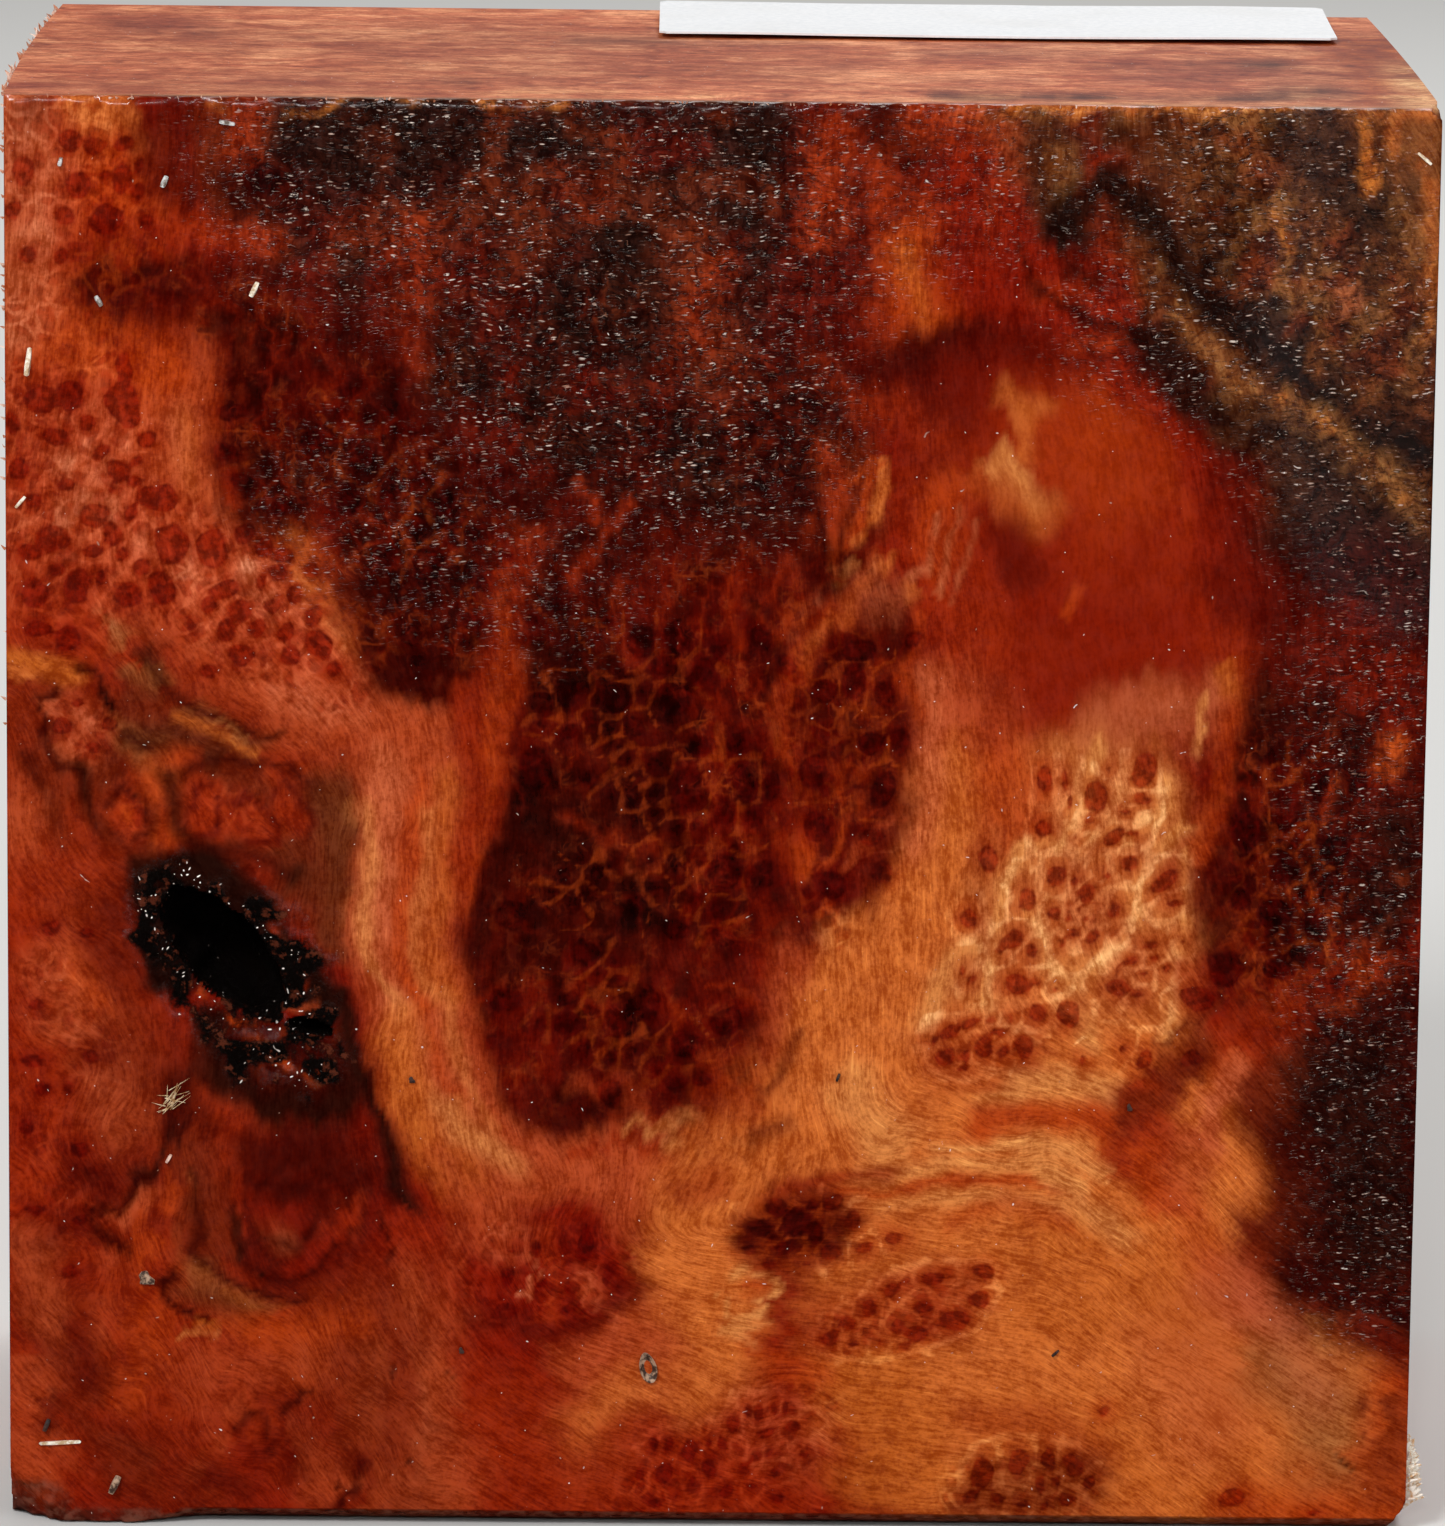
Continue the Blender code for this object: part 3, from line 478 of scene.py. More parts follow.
    ("ember", 2.6, 2, 0.35, [(121, 64), (121, 61)]),
    ("ember", 2.4, 1.8, 0.45, [(124, 73), (124.6, 70)]),
    ("ember", 4.4, 1.8, 0.45, [(102, 54), (109, 54)]),
    ("ember", 2, 1.8, 0.3, [(112.6, 57.6), (114, 57.8)]),
    ("ember", 2.6, 1.4, 0.55, [(127.4, 60)]),
    # centre island of dark lace
    ("maroon", 14, 2, 1, [(68, 100), (70, 84), (65, 62)]),
    ("maroon", 9, 1.6, 1, [(60, 96), (60, 72), (58, 60), (60, 52)]),
    ("maroon", 7.5, 2.5, 0.8, [(84, 102), (84, 84)]),
    ("wine", 9, 2, 0.8, [(82, 98), (84, 84), (81, 74)]),
    ("wine", 7, 1.3, 0.95, [(90, 97), (90, 88), (90, 80)]),
    ("wine", 5, 1.5, 0.9, [(92, 76), (88, 69)]),
    ("wine", 5, 1.4, 0.95, [(74, 62), (77, 56)]),
    ("wine", 4, 1.4, 0.95, [(73, 54), (73, 50)]),
    ("wine", 6.5, 1.4, 0.95, [(60, 50), (62, 47)]),
    ("maroon", 3.4, 1.4, 0.9, [(60, 49), (64, 48)]),
    ("black", 8, 5, 0.35, [(62, 92), (62, 72)]),
    ("black", 10, 5, 0.6, [(62, 84), (66, 66)], 4.5),
    ("red", 8, 4, 0.6, [(58, 58), (74, 58)], 2.5),
    ("red", 10, 5, 0.6, [(74, 98), (82, 80)], 2.5),
    ("red", 5, 3, 0.5, [(60, 102), (58, 90)], 3),
    ("rust", 6, 3, 0.7, [(90, 92), (90, 80)], 2),
    # orange veins of the island
    ("ember", 2.4, 1.4, 0.9, [(55.6, 110), (54.2, 104), (53, 95), (52, 86), (51.2, 78)]),
    ("orange", 0.7, 0.7, 0.8, [(54, 106), (53.4, 98), (52, 88), (51, 80)]),
    ("orange", 0.5, 0.6, 0.7, [(55.6, 96), (54, 88)]),
    ("ember", 0.7, 0.7, 0.8, [(57.4, 112), (56.6, 106)]),
    ("ember", 0.8, 0.7, 0.9, [(65.6, 113), (62.6, 109), (60.6, 105)]),
    ("ember", 0.5, 0.5, 0.8, [(61.4, 117), (62, 112)]),
    ("ember", 0.7, 0.7, 0.8, [(66, 104), (65.4, 99.6), (66.6, 96)]),
    ("ember", 0.6, 0.6, 0.8, [(69.8, 101), (69.6, 96.6)]),
    ("ember", 0.8, 0.7, 0.9, [(77.6, 105), (77, 100), (78, 95)]),
    ("orange", 0.4, 0.4, 0.8, [(76.8, 104), (77.8, 97.6)]),
    ("ember", 0.6, 0.6, 0.8, [(80.6, 104), (82.6, 106.6), (84.4, 103.6)]),
    ("orange", 0.5, 0.5, 0.8, [(79, 102.6), (81.6, 100.8), (84.2, 101)]),
    ("haze", 1.2, 1.4, 0.7, [(87, 103), (84.4, 99), (83.4, 96)], 2),
    ("orange", 1.5, 1.1, 0.95, [(93, 106), (89, 102), (86, 98.6), (83.6, 94)]),
    ("tan", 0.8, 0.7, 0.9, [(94, 106.4), (89.6, 102), (86.4, 98.6)]),
    ("orange", 0.9, 0.8, 0.9, [(83.4, 94), (82.4, 89.6), (84.2, 85.6), (85.2, 80), (84.6, 74)]),
    ("haze", 2.2, 1.6, 0.6, [(91.6, 104.6), (93.4, 101.6)]),
    ("ember", 0.6, 0.6, 0.8, [(79.6, 90), (77, 87.4), (74.6, 88)]),
    ("ember", 0.7, 0.6, 0.8, [(75.6, 86), (75.6, 80), (76.6, 76)]),
    ("ember", 0.5, 0.5, 0.8, [(73, 84.6), (72.6, 81), (74, 78.6)]),
    ("orange", 0.7, 0.6, 0.9, [(78, 81), (79.2, 77.6), (79.2, 74)]),
    ("tan", 0.4, 0.5, 0.7, [(79.4, 78.4), (79.6, 75)]),
    ("orange", 0.5, 0.5, 0.8, [(80.6, 79.4), (82.4, 77), (82.4, 74.6)]),
    ("ember", 0.5, 0.5, 0.8, [(81.6, 86), (83, 83), (81, 81)]),
    ("orange", 0.6, 0.6, 0.9, [(86, 86.4), (89, 84.6), (90.4, 80.6), (90, 76), (88, 74)]),
    ("orange", 0.5, 0.5, 0.8, [(85.4, 82), (86, 77), (85.4, 73.6)]),
    ("orange", 0.5, 0.5, 0.8, [(90.6, 84.6), (92.4, 82.6), (93.6, 84.4)]),
    ("orange", 0.5, 0.5, 0.8, [(92, 81), (92.4, 78), (94.8, 79.6)]),
    ("salmon", 0.5, 0.5, 0.9, [(90.8, 73.4), (93.4, 75.4), (96, 78.4)]),
    ("orange", 0.5, 0.5, 0.8, [(91, 92.4), (94, 96.4), (96.6, 96)]),
    ("orange", 0.6, 0.6, 0.8, [(97.4, 100), (96.2, 96), (97.4, 91)]),
    ("orange", 0.4, 0.4, 0.8, [(87, 68.4), (88.4, 69.6), (89.6, 68), (88.6, 66.6)]),
    ("ember", 0.6, 0.6, 0.8, [(74.4, 74), (74, 70), (74.6, 66.6)]),
    ("orange", 0.4, 0.5, 0.8, [(74.6, 67), (77, 67.4), (79.4, 67.6)]),
    ("ember", 0.6, 0.7, 0.7, [(50.6, 59.4), (54, 60), (57, 58)]),
    ("ember", 0.6, 0.6, 0.8, [(62, 60.6), (66, 59.6), (67.4, 56.6)]),
    ("orange", 0.4, 0.4, 0.8, [(72, 59), (73.6, 56.6), (71.4, 54)]),
    ("ember", 0.5, 0.5, 0.8, [(76, 60.4), (78.6, 60), (80, 57)]),
    ("salmon", 1.1, 1, 0.85, [(62, 51.4), (65.4, 49.4), (68.6, 46.4), (72, 43.6)]),
    ("ember", 2, 1.4, 0.75, [(82.6, 88), (84, 80), (84, 72), (82.4, 67)], 4),
    ("tan", 1.1, 1.1, 0.8, [(92, 105), (88.6, 100.6), (85, 96), (82.6, 90)], 4),
    ("orange", 1.2, 1, 0.75, [(53.4, 94), (52, 86), (51, 78), (50, 71)], 4),
    ("ember", 0.8, 0.8, 0.6, [(60, 78), (66, 78.6), (70, 77)]),
    ("salmon", 0.5, 0.6, 0.6, [(67.6, 75), (70.6, 75)]),
    # salmon flow left of the centre and its turn under the island
    ("salmon", 6, 1.8, 1, [(44, 84), (43.4, 70), (43.6, 58), (46, 50)]),
    ("salmon", 3, 2, 0.9, [(41, 88), (46, 86)]),
    ("salmon", 4.4, 2, 1, [(47, 50), (51, 44), (58, 39), (68, 41)]),
    ("pink", 1.8, 1.4, 0.9, [(40.6, 84), (40.2, 77), (40.8, 70)]),
    ("orange", 0.8, 0.8, 0.8, [(44, 84), (43.6, 70), (44, 58)]),
    ("gold", 1.4, 1.4, 0.55, [(47.2, 84), (47.2, 72), (46.6, 60)]),
    ("pink", 1.8, 1.8, 0.6, [(41, 82), (39.8, 70), (41, 58), (45, 49)]),
    ("cream", 0.8, 0.9, 0.5, [(38.8, 78), (39.4, 66), (42, 56)]),
    ("orange", 0.5, 0.6, 0.7, [(43, 80), (42.4, 68), (44, 56), (48, 47)]),
    ("straw", 0.7, 0.8, 0.6, [(45.2, 80), (45, 68), (46.4, 56), (51, 46)]),
    ("ember", 1.6, 1.2, 0.8, [(49.8, 92), (49.6, 80), (49.2, 72)]),
    ("gold", 2.4, 2, 0.8, [(41, 52), (43.6, 44), (48, 38)]),
    ("salmon", 1.4, 1.4, 0.7, [(45, 42), (49, 36), (48, 30)]),
    ("cream", 1.4, 1.4, 0.6, [(46, 48), (50, 43), (54, 40)]),
    ("tan", 1.6, 1.4, 0.7, [(42, 56), (43, 50)]),
    ("tan", 3.4, 1.8, 0.9, [(91, 65), (88, 58), (85.4, 52)]),
    ("salmon", 2, 1.6, 0.75, [(84.6, 64), (83, 58), (81.6, 53)]),
    ("cream", 0.7, 0.6, 0.8, [(67, 44.2), (72, 44.8), (75, 46.4)]),
    ("cream", 0.5, 0.5, 0.8, [(70, 42.8), (73.4, 43.6)]),
    ("orange", 2, 1.8, 0.6, [(76, 50), (80, 46)]),
    ("ember", 0.8, 0.7, 0.8, [(60, 42), (66, 42.4), (71, 41.6)]),
    ("salmon", 4, 3, 0.9, [(52, 36), (64, 36)]),
    ("ember", 5, 3, 0.5, [(47, 32), (50, 26)]),
    # lower middle
    ("tan", 7, 3, 1, [(76, 36), (74, 18)]),
    ("tan", 6, 4, 0.9, [(92, 32), (96, 14)]),
    ("salmon", 6, 3, 0.9, [(66, 20), (64, 10)]),
    ("tan", 2.5, 2, 0.7, [(62, 10), (68, 15)]),
    ("ember", 7, 3, 0.8, [(52, 10), (56, 6)]),
    ("ember", 8, 3, 0.75, [(70, 4), (84, 9)]),
    ("salmon", 4, 3, 0.5, [(80, 14), (86, 10)]),
    ("gold", 6, 4, 0.8, [(96, 8), (94, 16)]),
    ("red", 8.5, 2, 1, [(58.4, 28.5)]),
    ("wine", 1.2, 1.2, 0.7, [(52, 22.4), (58, 20.6), (64, 23), (67, 28)]),
    ("ember", 1, 1, 0.8, [(57, 33), (59, 28), (58, 23)]),
    ("salmon", 3, 2, 0.6, [(53, 33)]),
    ("pink", 0.4, 0.4, 0.8, [(55, 31), (56, 28.4), (54.6, 26)]),
    ("salmon", 1.4, 1.2, 0.7, [(62.6, 28), (63, 25.6)]),
    ("ember", 2, 1.6, 0.6, [(73, 39), (76, 40)]),
    ("rust", 0.5, 0.5, 0.7, [(85, 54), (83, 50), (81, 46.6)]),
    ("rust", 0.8, 0.8, 0.7, [(81, 43), (84.4, 44.4)]),
    ("ember", 0.7, 0.7, 0.8, [(84, 38.8), (90, 40.4), (96, 40.2)]),
    ("wine", 3, 1.6, 0.9, [(81.4, 33.4), (84.6, 34.4), (88, 33)]),
    ("wine", 1.6, 1.2, 0.7, [(88, 37), (91, 35.4)]),
    ("ember", 3.4, 1.8, 0.6, [(90, 23), (96, 25), (102, 26.6)]),
    ("cream", 0.5, 0.5, 0.9, [(77.6, 28.4), (80.6, 29), (83.2, 27.2), (82, 24.6), (78.6, 23.4)]),
    ("cream", 0.4, 0.4, 0.8, [(76, 26), (78, 22.6), (82, 22.4)]),
    ("orange", 0.5, 0.5, 0.8, [(79, 27), (81.6, 27)]),
    ("orange", 2, 2, 0.6, [(82, 21), (88, 18)]),
    ("ember", 2.4, 2, 0.5, [(104, 12), (112, 12.6), (118, 8)]),
    ("rust", 3.4, 2, 0.7, [(106, 5), (116, 5)]),
    # lower left
    ("rust", 15, 5, 0.5, [(20, 40), (24, 10)]),
    ("ember", 10, 5, 0.8, [(14, 24), (34, 12)]),
    ("ember", 6, 4, 0.8, [(2, 46), (2, 6)]),
    ("salmon", 4, 3, 0.6, [(1, 30), (4, 20), (2, 6)], 4),
    ("rust", 5, 4, 0.6, [(8, 20), (14, 8)], 4),
    ("salmon", 6, 3, 0.9, [(44, 22), (43, 12), (46, 6)]),
    ("salmon", 1.4, 1.4, 0.7, [(46, 22), (48, 14), (47, 6)]),
    ("pink", 0.7, 0.8, 0.6, [(44.6, 21), (46.6, 14), (46, 7)], 4),
    ("orange", 5, 4, 0.4, [(30, 20), (38, 14)], 5),
    ("red", 9, 5, 0.7, [(38, 27), (37, 16), (34, 6)], 6),
    ("rust", 8, 5, 0.6, [(38, 20), (40, 5)]),
    ("red", 6, 3, 0.6, [(24, 12), (32, 6)], 4),
    ("wine", 8.6, 1.8, 0.85, [(30.4, 38), (31.4, 34.6)]),
    ("maroon", 2.6, 2.2, 0.7, [(26, 41.6), (33, 42.4), (37.6, 39)]),
    ("ember", 2, 1.8, 0.6, [(23.6, 42), (25, 36)]),
    ("ember", 1.6, 1.4, 0.6, [(36.4, 36), (36, 31.6)]),
    ("red", 1.4, 1.2, 0.7, [(31, 29.6), (35, 30.4)]),
    ("maroon", 2, 1, 0.8, [(31.4, 37.6)]),
    ("red", 0.8, 0.6, 0.8, [(31.6, 36)]),
    ("maroon", 0.4, 0.4, 0.8, [(28, 38.6), (29.6, 41), (33, 41), (35.2, 38.6), (35, 34.6), (32.4, 32.4)]),
    ("maroon", 0.4, 0.4, 0.6, [(26.6, 36), (26.4, 32.6), (29, 29.4)]),
    ("pink", 1, 1, 0.35, [(28.8, 34.4), (29.6, 32)]),
    ("red", 3.2, 2.4, 0.6, [(29, 35), (33, 33)], 3),
    ("maroon", 0.5, 0.5, 0.7, [(24.2, 39), (23.8, 34.6), (24.6, 30.6), (27.4, 28.2), (32, 27.8), (36, 30),
        (38, 34)]),
    ("maroon", 0.4, 0.4, 0.6, [(27.6, 38.4), (27, 35.4), (28, 32.6), (30.6, 31.4), (33.2, 32.4),
        (34.2, 35), (33.4, 38), (30.8, 39.4), (28.4, 38.8)]),
    ("black", 0.35, 0.25, 0.8, [(27.2, 33.8)]),
    ("black", 0.35, 0.25, 0.8, [(27, 28.7)]),
    ("black", 0.4, 0.25, 0.8, [(41.4, 28.7)]),
    ("black", 0.3, 0.25, 0.8, [(41.4, 17.2)]),
    ("black", 0.4, 0.3, 0.8, [(48.7, 17.4)]),
    ("black", 0.4, 0.3, 0.7, [(44.2, 8.3)]),
    ("black", 0.3, 0.25, 0.7, [(7, 15.4)]),
    ("salmon", 2.4, 2.2, 0.5, [(41, 12), (43, 8)], 3),
    ("black", 0.7, 0.6, 0.8, [(24.2, 35), (24.4, 31.4)]),
    ("ember", 2.2, 1.8, 0.8, [(22, 48), (24, 46)]),
    ("rust", 2.4, 1.6, 0.8, [(20.4, 40), (21.4, 32)]),
    ("bark gold", 1.4, 1.4, 0.6, [(18.6, 37), (19.4, 31), (22, 27), (28, 23.6)], 2.5),
    ("gold", 0.5, 0.7, 0.6, [(20.2, 30), (21.4, 27.6), (24, 25.6), (27.6, 23.6)], 1.6),
    ("orange", 0.9, 1, 0.7, [(18.4, 38), (16.6, 33), (14.8, 28.6), (14.4, 23)], 2),
    ("orange", 0.5, 0.7, 0.6, [(14.8, 35), (14, 31)]),
    ("salmon", 1.6, 1.6, 0.6, [(12, 30), (11, 24), (13, 18)], 3),
    ("brown", 2.2, 2, 0.7, [(20, 26), (24, 23.6)]),
    ("gold", 0.5, 0.5, 0.7, [(16.4, 19), (18.4, 21), (21, 21.4)], 1.6),
    ("straw", 0.3, 0.3, 0.8, [(17.6, 18.8), (19.4, 20.2), (21.2, 20.2)]),
    ("orange", 1.4, 1.6, 0.5, [(15.6, 24), (15.4, 18), (12.6, 13)]),
    ("orange", 1.6, 1.6, 0.6, [(24, 22), (32, 21), (38, 22)]),
    ("salmon", 2.4, 2.4, 0.6, [(24, 14), (22, 6)], 3),
    ("salmon", 3, 2.6, 0.6, [(30, 8), (38, 3)], 3.5),
    ("wine", 2.4, 2, 0.6, [(28, 13), (31, 8)], 2.5),
    ("maroon", 0.5, 0.5, 0.85, [(20.4, 38), (20.4, 31), (23, 28.4), (27, 26.6), (31, 25.4)]),
    ("maroon", 0.4, 0.5, 0.6, [(31, 25.4), (36, 24)], 2),
    ("maroon", 0.5, 0.4, 0.95, [(18, 28.8), (17.4, 25.4), (18, 22.8), (20, 22)]),
    ("maroon", 0.4, 0.4, 0.8, [(40.6, 33.6), (42, 30.4), (41, 28.6)]),
    ("black", 1.2, 1.1, 0.85, [(18.6, 44), (16.4, 41.4), (12.6, 38)]),
    ("maroon", 0.9, 0.8, 0.9, [(14, 39), (10, 35.4), (9.4, 33.4), (12.8, 32)]),
    ("wine", 2.6, 1.4, 0.8, [(8.4, 39.8)]),
    ("maroon", 0.9, 0.8, 0.6, [(8.6, 39.6)]),
    ("salmon", 1.2, 1, 0.8, [(13.2, 35.8), (15, 36.8)]),
    ("maroon", 2.4, 1.6, 0.8, [(18.6, 49), (19, 45)]),
    ("wine", 2.6, 2, 0.6, [(5, 34), (3, 30)]),
    ("wine", 3.2, 2.4, 0.75, [(3, 24), (8, 18)]),
    ("wine", 2, 1.2, 0.8, [(4.6, 12)]),
    ("maroon", 0.8, 0.8, 0.6, [(6, 14), (8, 11)]),
    ("salmon", 2.4, 2.4, 0.6, [(2, 27), (4, 24)]),
    ("salmon", 3, 2.4, 0.5, [(10, 48), (12, 46)]),
    ("salmon", 2.6, 2.4, 0.5, [(20, 16), (26, 17), (32, 18)]),
    ("maroon", 0.7, 0.6, 0.9, [(38.2, 7.4), (36.4, 5), (35, 2.4)]),
    ("wine", 1.2, 1.2, 0.7, [(38, 8), (36, 6)]),
    ("maroon", 0.45, 0.4, 0.8, [(32.6, 14.6), (31.4, 11)]),
    ("wine", 2.6, 1.2, 0.6, [(26.2, 9.4)]),
    ("ember", 1, 0.8, 0.7, [(26.2, 9.6)]),
    ("maroon", 0.4, 0.4, 0.6, [(24.2, 10.4), (26, 11.8), (28.4, 10.4), (28, 7.6)]),
    ("wine", 1.4, 1, 0.7, [(21, 5), (25, 4.4)]),
    # bark round the pit
    ("black", 3, 1.4, 1, [(15, 71), (20, 71), (22, 72)]),
    ("black", 3, 1.4, 1, [(17, 66), (18, 61)]),
    ("black", 2, 1.2, 1, [(24, 69.6), (28.4, 67), (32.4, 62.6), (34, 57)]),
    ("black", 2.4, 1.6, 0.95, [(23, 55), (22.6, 51)]),
    ("black", 3.4, 1.8, 0.95, [(27, 49.4), (34, 49)]),
    ("maroon", 3, 1.8, 0.95, [(26, 53.4), (33, 53)]),
    ("rust", 2.4, 1.6, 0.85, [(27, 53.6), (33, 54)], 1.4),
    ("orange", 0.5, 0.5, 0.7, [(27, 53), (30, 52), (33.4, 51.4)], 1.2),
    ("black", 0.9, 0.9, 0.95, [(35.6, 58), (36.4, 52), (38.4, 46), (41, 39.6), (42.6, 35)]),
    ("orange", 0.35, 0.35, 0.9, [(20.6, 58.4), (23.6, 56.4), (26.4, 54.4)], 2),
    ("pink", 0.5, 0.5, 0.8, [(18.6, 60), (21, 59.4)], 1.4),
    ("ember", 0.7, 0.7, 0.8, [(29, 67), (31, 64.6), (32, 61)], 2),
    ("pink", 0.4, 0.4, 0.7, [(30, 65.4), (31, 63)], 1.4),
    ("salmon", 0.6, 0.5, 0.7, [(30.4, 58.4), (33, 58)], 1.4),
    ("black", 1.6, 1.2, 0.9, [(13, 71.6), (16, 71.8), (20, 72.4), (24, 71.2), (28, 69)]),
    ("black", 1.2, 1, 0.85, [(15, 70), (16, 66), (15.4, 62), (16.4, 60)]),
]


def linear(tint):
    """Turns a tint of 0 to 255, as a screen shows it, into the values that a material reads."""
    part = np.array(tint) / 255
    return np.where(part <= 0.04045, part / 12.92, ((part + 0.055) / 1.055) ** 2.4)


# How far the stains sway, and the width of the sway, in mm
SWAYS = ((1.8, 9.0), (0.8, 3.6), (0.35, 1.6))


def sway(across, up, axis):
    """How far the stains sway at each point. Each axis has waves of its own."""
    waves = enumerate(SWAYS)
    return sum(size * lumps(across, up, 7.0 * axis, wide, 10 * axis + wave) for wave, (size, wide) in waves)


def stained(across, up, stains):
    """Lays the stains over the red ground, one over the other."""
    across, up = across + sway(across, up, 1), up + sway(across, up, 2)
    colour = np.zeros(np.shape(across) + (3,)) + linear(TINTS["red"])
    for number, (tint, half, soft, strength, line, *patch) in enumerate(stains):
        cover = ramp(half + soft - away(across, up, line), 0, 2 * soft)[..., None] * strength
        if patch:
            cover = cover * ramp(lumps(across, up * 0.8, number, patch[0], 70 + number), -0.2, 0.3)[..., None]
        colour = colour * (1 - cover) + linear(TINTS[tint]) * cover
    return colour


# Torn and worn shapes
# The saw wandered on the sides, the bottom arris was eased, and three corners of the front were chipped
# or cut off. All of it is the block's own wood, so the points of its mesh are moved.
LEFT_SWELL = 0.7
RIGHT_TAPER = 1.3
EASE_RISE = 1.7
EASE_RUN = 3.0
CORNERS_LOST = [
    ((0, 0, 0), (5.8, 4.2, 6.2)),
    ((WIDTH, 0, 0), (-2.2, 10, 3.4)),
    ((WIDTH, 0, HEIGHT), (-1.1, 6, -1.3)),
]
lean = np.abs(2 * across / WIDTH - 1)
swell = LEFT_SWELL * np.sin(math.pi * deep / THICKNESS)
taper = RIGHT_TAPER * (deep / THICKNESS) ** 2
side_shift = np.where(across < WIDTH / 2, -swell, -taper) * lean

# The arris all round the front is worn by a few tenths of a millimetre
on_left, on_right = across < ON_EDGE, across > WIDTH - ON_EDGE
on_bottom, on_top = up < ON_EDGE, up > HEIGHT - ON_EDGE
on_edge = on_front & (on_left | on_right | on_bottom | on_top)
wear = 0.16 + 0.14 * lumps(across, deep, up, 2.3, 5) + 0.10 * lumps(across, deep, up, 0.9, 6)
wear = np.where(on_edge, np.clip(wear, 0.03, 0.5), 0)
new_across = across + wear * np.where(on_left, 1, np.where(on_right, -1, 0))
new_up = up + wear * np.where(on_bottom, 1, np.where(on_top, -1, 0))
new_deep = deep + wear

# Eased bottom arris: the rows on both sides of it slide on to a slope
eased = ramp(across, 12, 22)
rise = EASE_RISE * eased + 1e-6
run = EASE_RUN * eased + 1e-6
along = np.where(on_front, up, -deep)
in_ease = (eased > 0) & (along < rise) & (along > -run) & (on_front | on_bottom)
part = np.clip((rise - along) / (rise + run), 0, 1)
bulge = 0.22 * np.sin(math.pi * part) * eased
rough = 0.10 * eased * lumps(across, deep, up, 1.4, 7)
new_deep = np.where(in_ease, run * part - bulge + rough, new_deep)
new_up = np.where(in_ease, rise * (1 - part) - bulge * 0.6 + np.abs(rough), new_up)
new_up = np.maximum(new_up, 0)

for corner, legs in CORNERS_LOST:
    legs = np.array(legs)
    place = np.stack([new_across, new_deep, new_up], axis=1)
    share = ((place - corner) / legs).sum(axis=1)
    slope = 1 / legs
    lost = np.clip(1 - share, 0, None)
    torn = np.where(lost > 0, 0.18 * lumps(across, deep, up, 1.3, 8) - 0.12, 0) * ramp(lost, 0, 0.15)
    move = lost[:, None] * slope / (slope ** 2).sum() - torn[:, None] * slope / np.linalg.norm(slope)
    new_across, new_deep, new_up = (place + move).T
    new_up = np.clip(new_up, 0, HEIGHT)

# Bark pit: a leaning hollow in a torn, sunken rim, with a slot at its lower end
PIT_HALF = (8.8, 4.2)
PIT_DEPTH = 11.5
PIT_LEAN = math.radians(-48)
RIM_HALF = (14.3, 8.2)
RIM_DEPTH = 1.1
SLOT = (32.7, 55.3)
SLOT_HALF = (2.6, 0.9)
SLOT_DEPTH = 4.4
SLOT_LEAN = math.radians(-14)


def ring(across, up, middle, half, lean):
    """Distance from the middle of a leaning ellipse, as a share of its half sizes."""
    side, rise = across - middle[0], up - middle[1]
    long = side * math.cos(lean) + rise * math.sin(lean)
    short = rise * math.cos(lean) - side * math.sin(lean)
    return np.hypot(long / half[0], short / half[1])


ragged = 0.10 * lumps(across, up, 1, 2.6, 21) + 0.07 * lumps(across, up, 2, 1.1, 22)
pit = np.maximum(ring(across, up, PIT, PIT_HALF, PIT_LEAN) + ragged, 0)
rim = ring(across, up, RIM, RIM_HALF, PIT_LEAN) + 1.6 * ragged
slot = ring(across, up, SLOT, SLOT_HALF, SLOT_LEAN) + 1.2 * ragged
hollow = PIT_DEPTH * np.clip(1 - pit ** 2.4, 0, 1) ** 0.75
crumbs = 0.30 * np.abs(lumps(across, up, 3, 1.6, 23)) + 0.22 * lumps(across, up, 4, 0.8, 24)
sunken = RIM_DEPTH * ramp(1 - rim, 0.0, 0.35) * np.clip(0.4 + 1.1 * crumbs, 0, 1.5)
cleft = SLOT_DEPTH * np.clip(1 - slot ** 2, 0, 1) ** 0.7
pit_wall = np.where(hollow > 0.5, 0.30 * lumps(across, up, hollow, 1.5, 25), 0)
new_deep = np.where(on_front, new_deep + np.maximum.reduce([hollow + pit_wall, sunken, cleft]), new_deep)

# Where the grain stood on end, at the top right, the saw tore it
torn_zone = ramp(away(across, up, [(150, 154), (146, 132), (151, 112)]), 18, 4)
tear = torn_zone * np.clip(lumps(across * 0.6, up * 1.5, 5, 1.1, 26) - 0.25, 0, 1) * 0.30
new_deep = np.where(on_front, new_deep + tear, new_deep)
set_points(block, np.stack([new_across + LEFT + side_shift, new_deep + FRONT, new_up], axis=1))

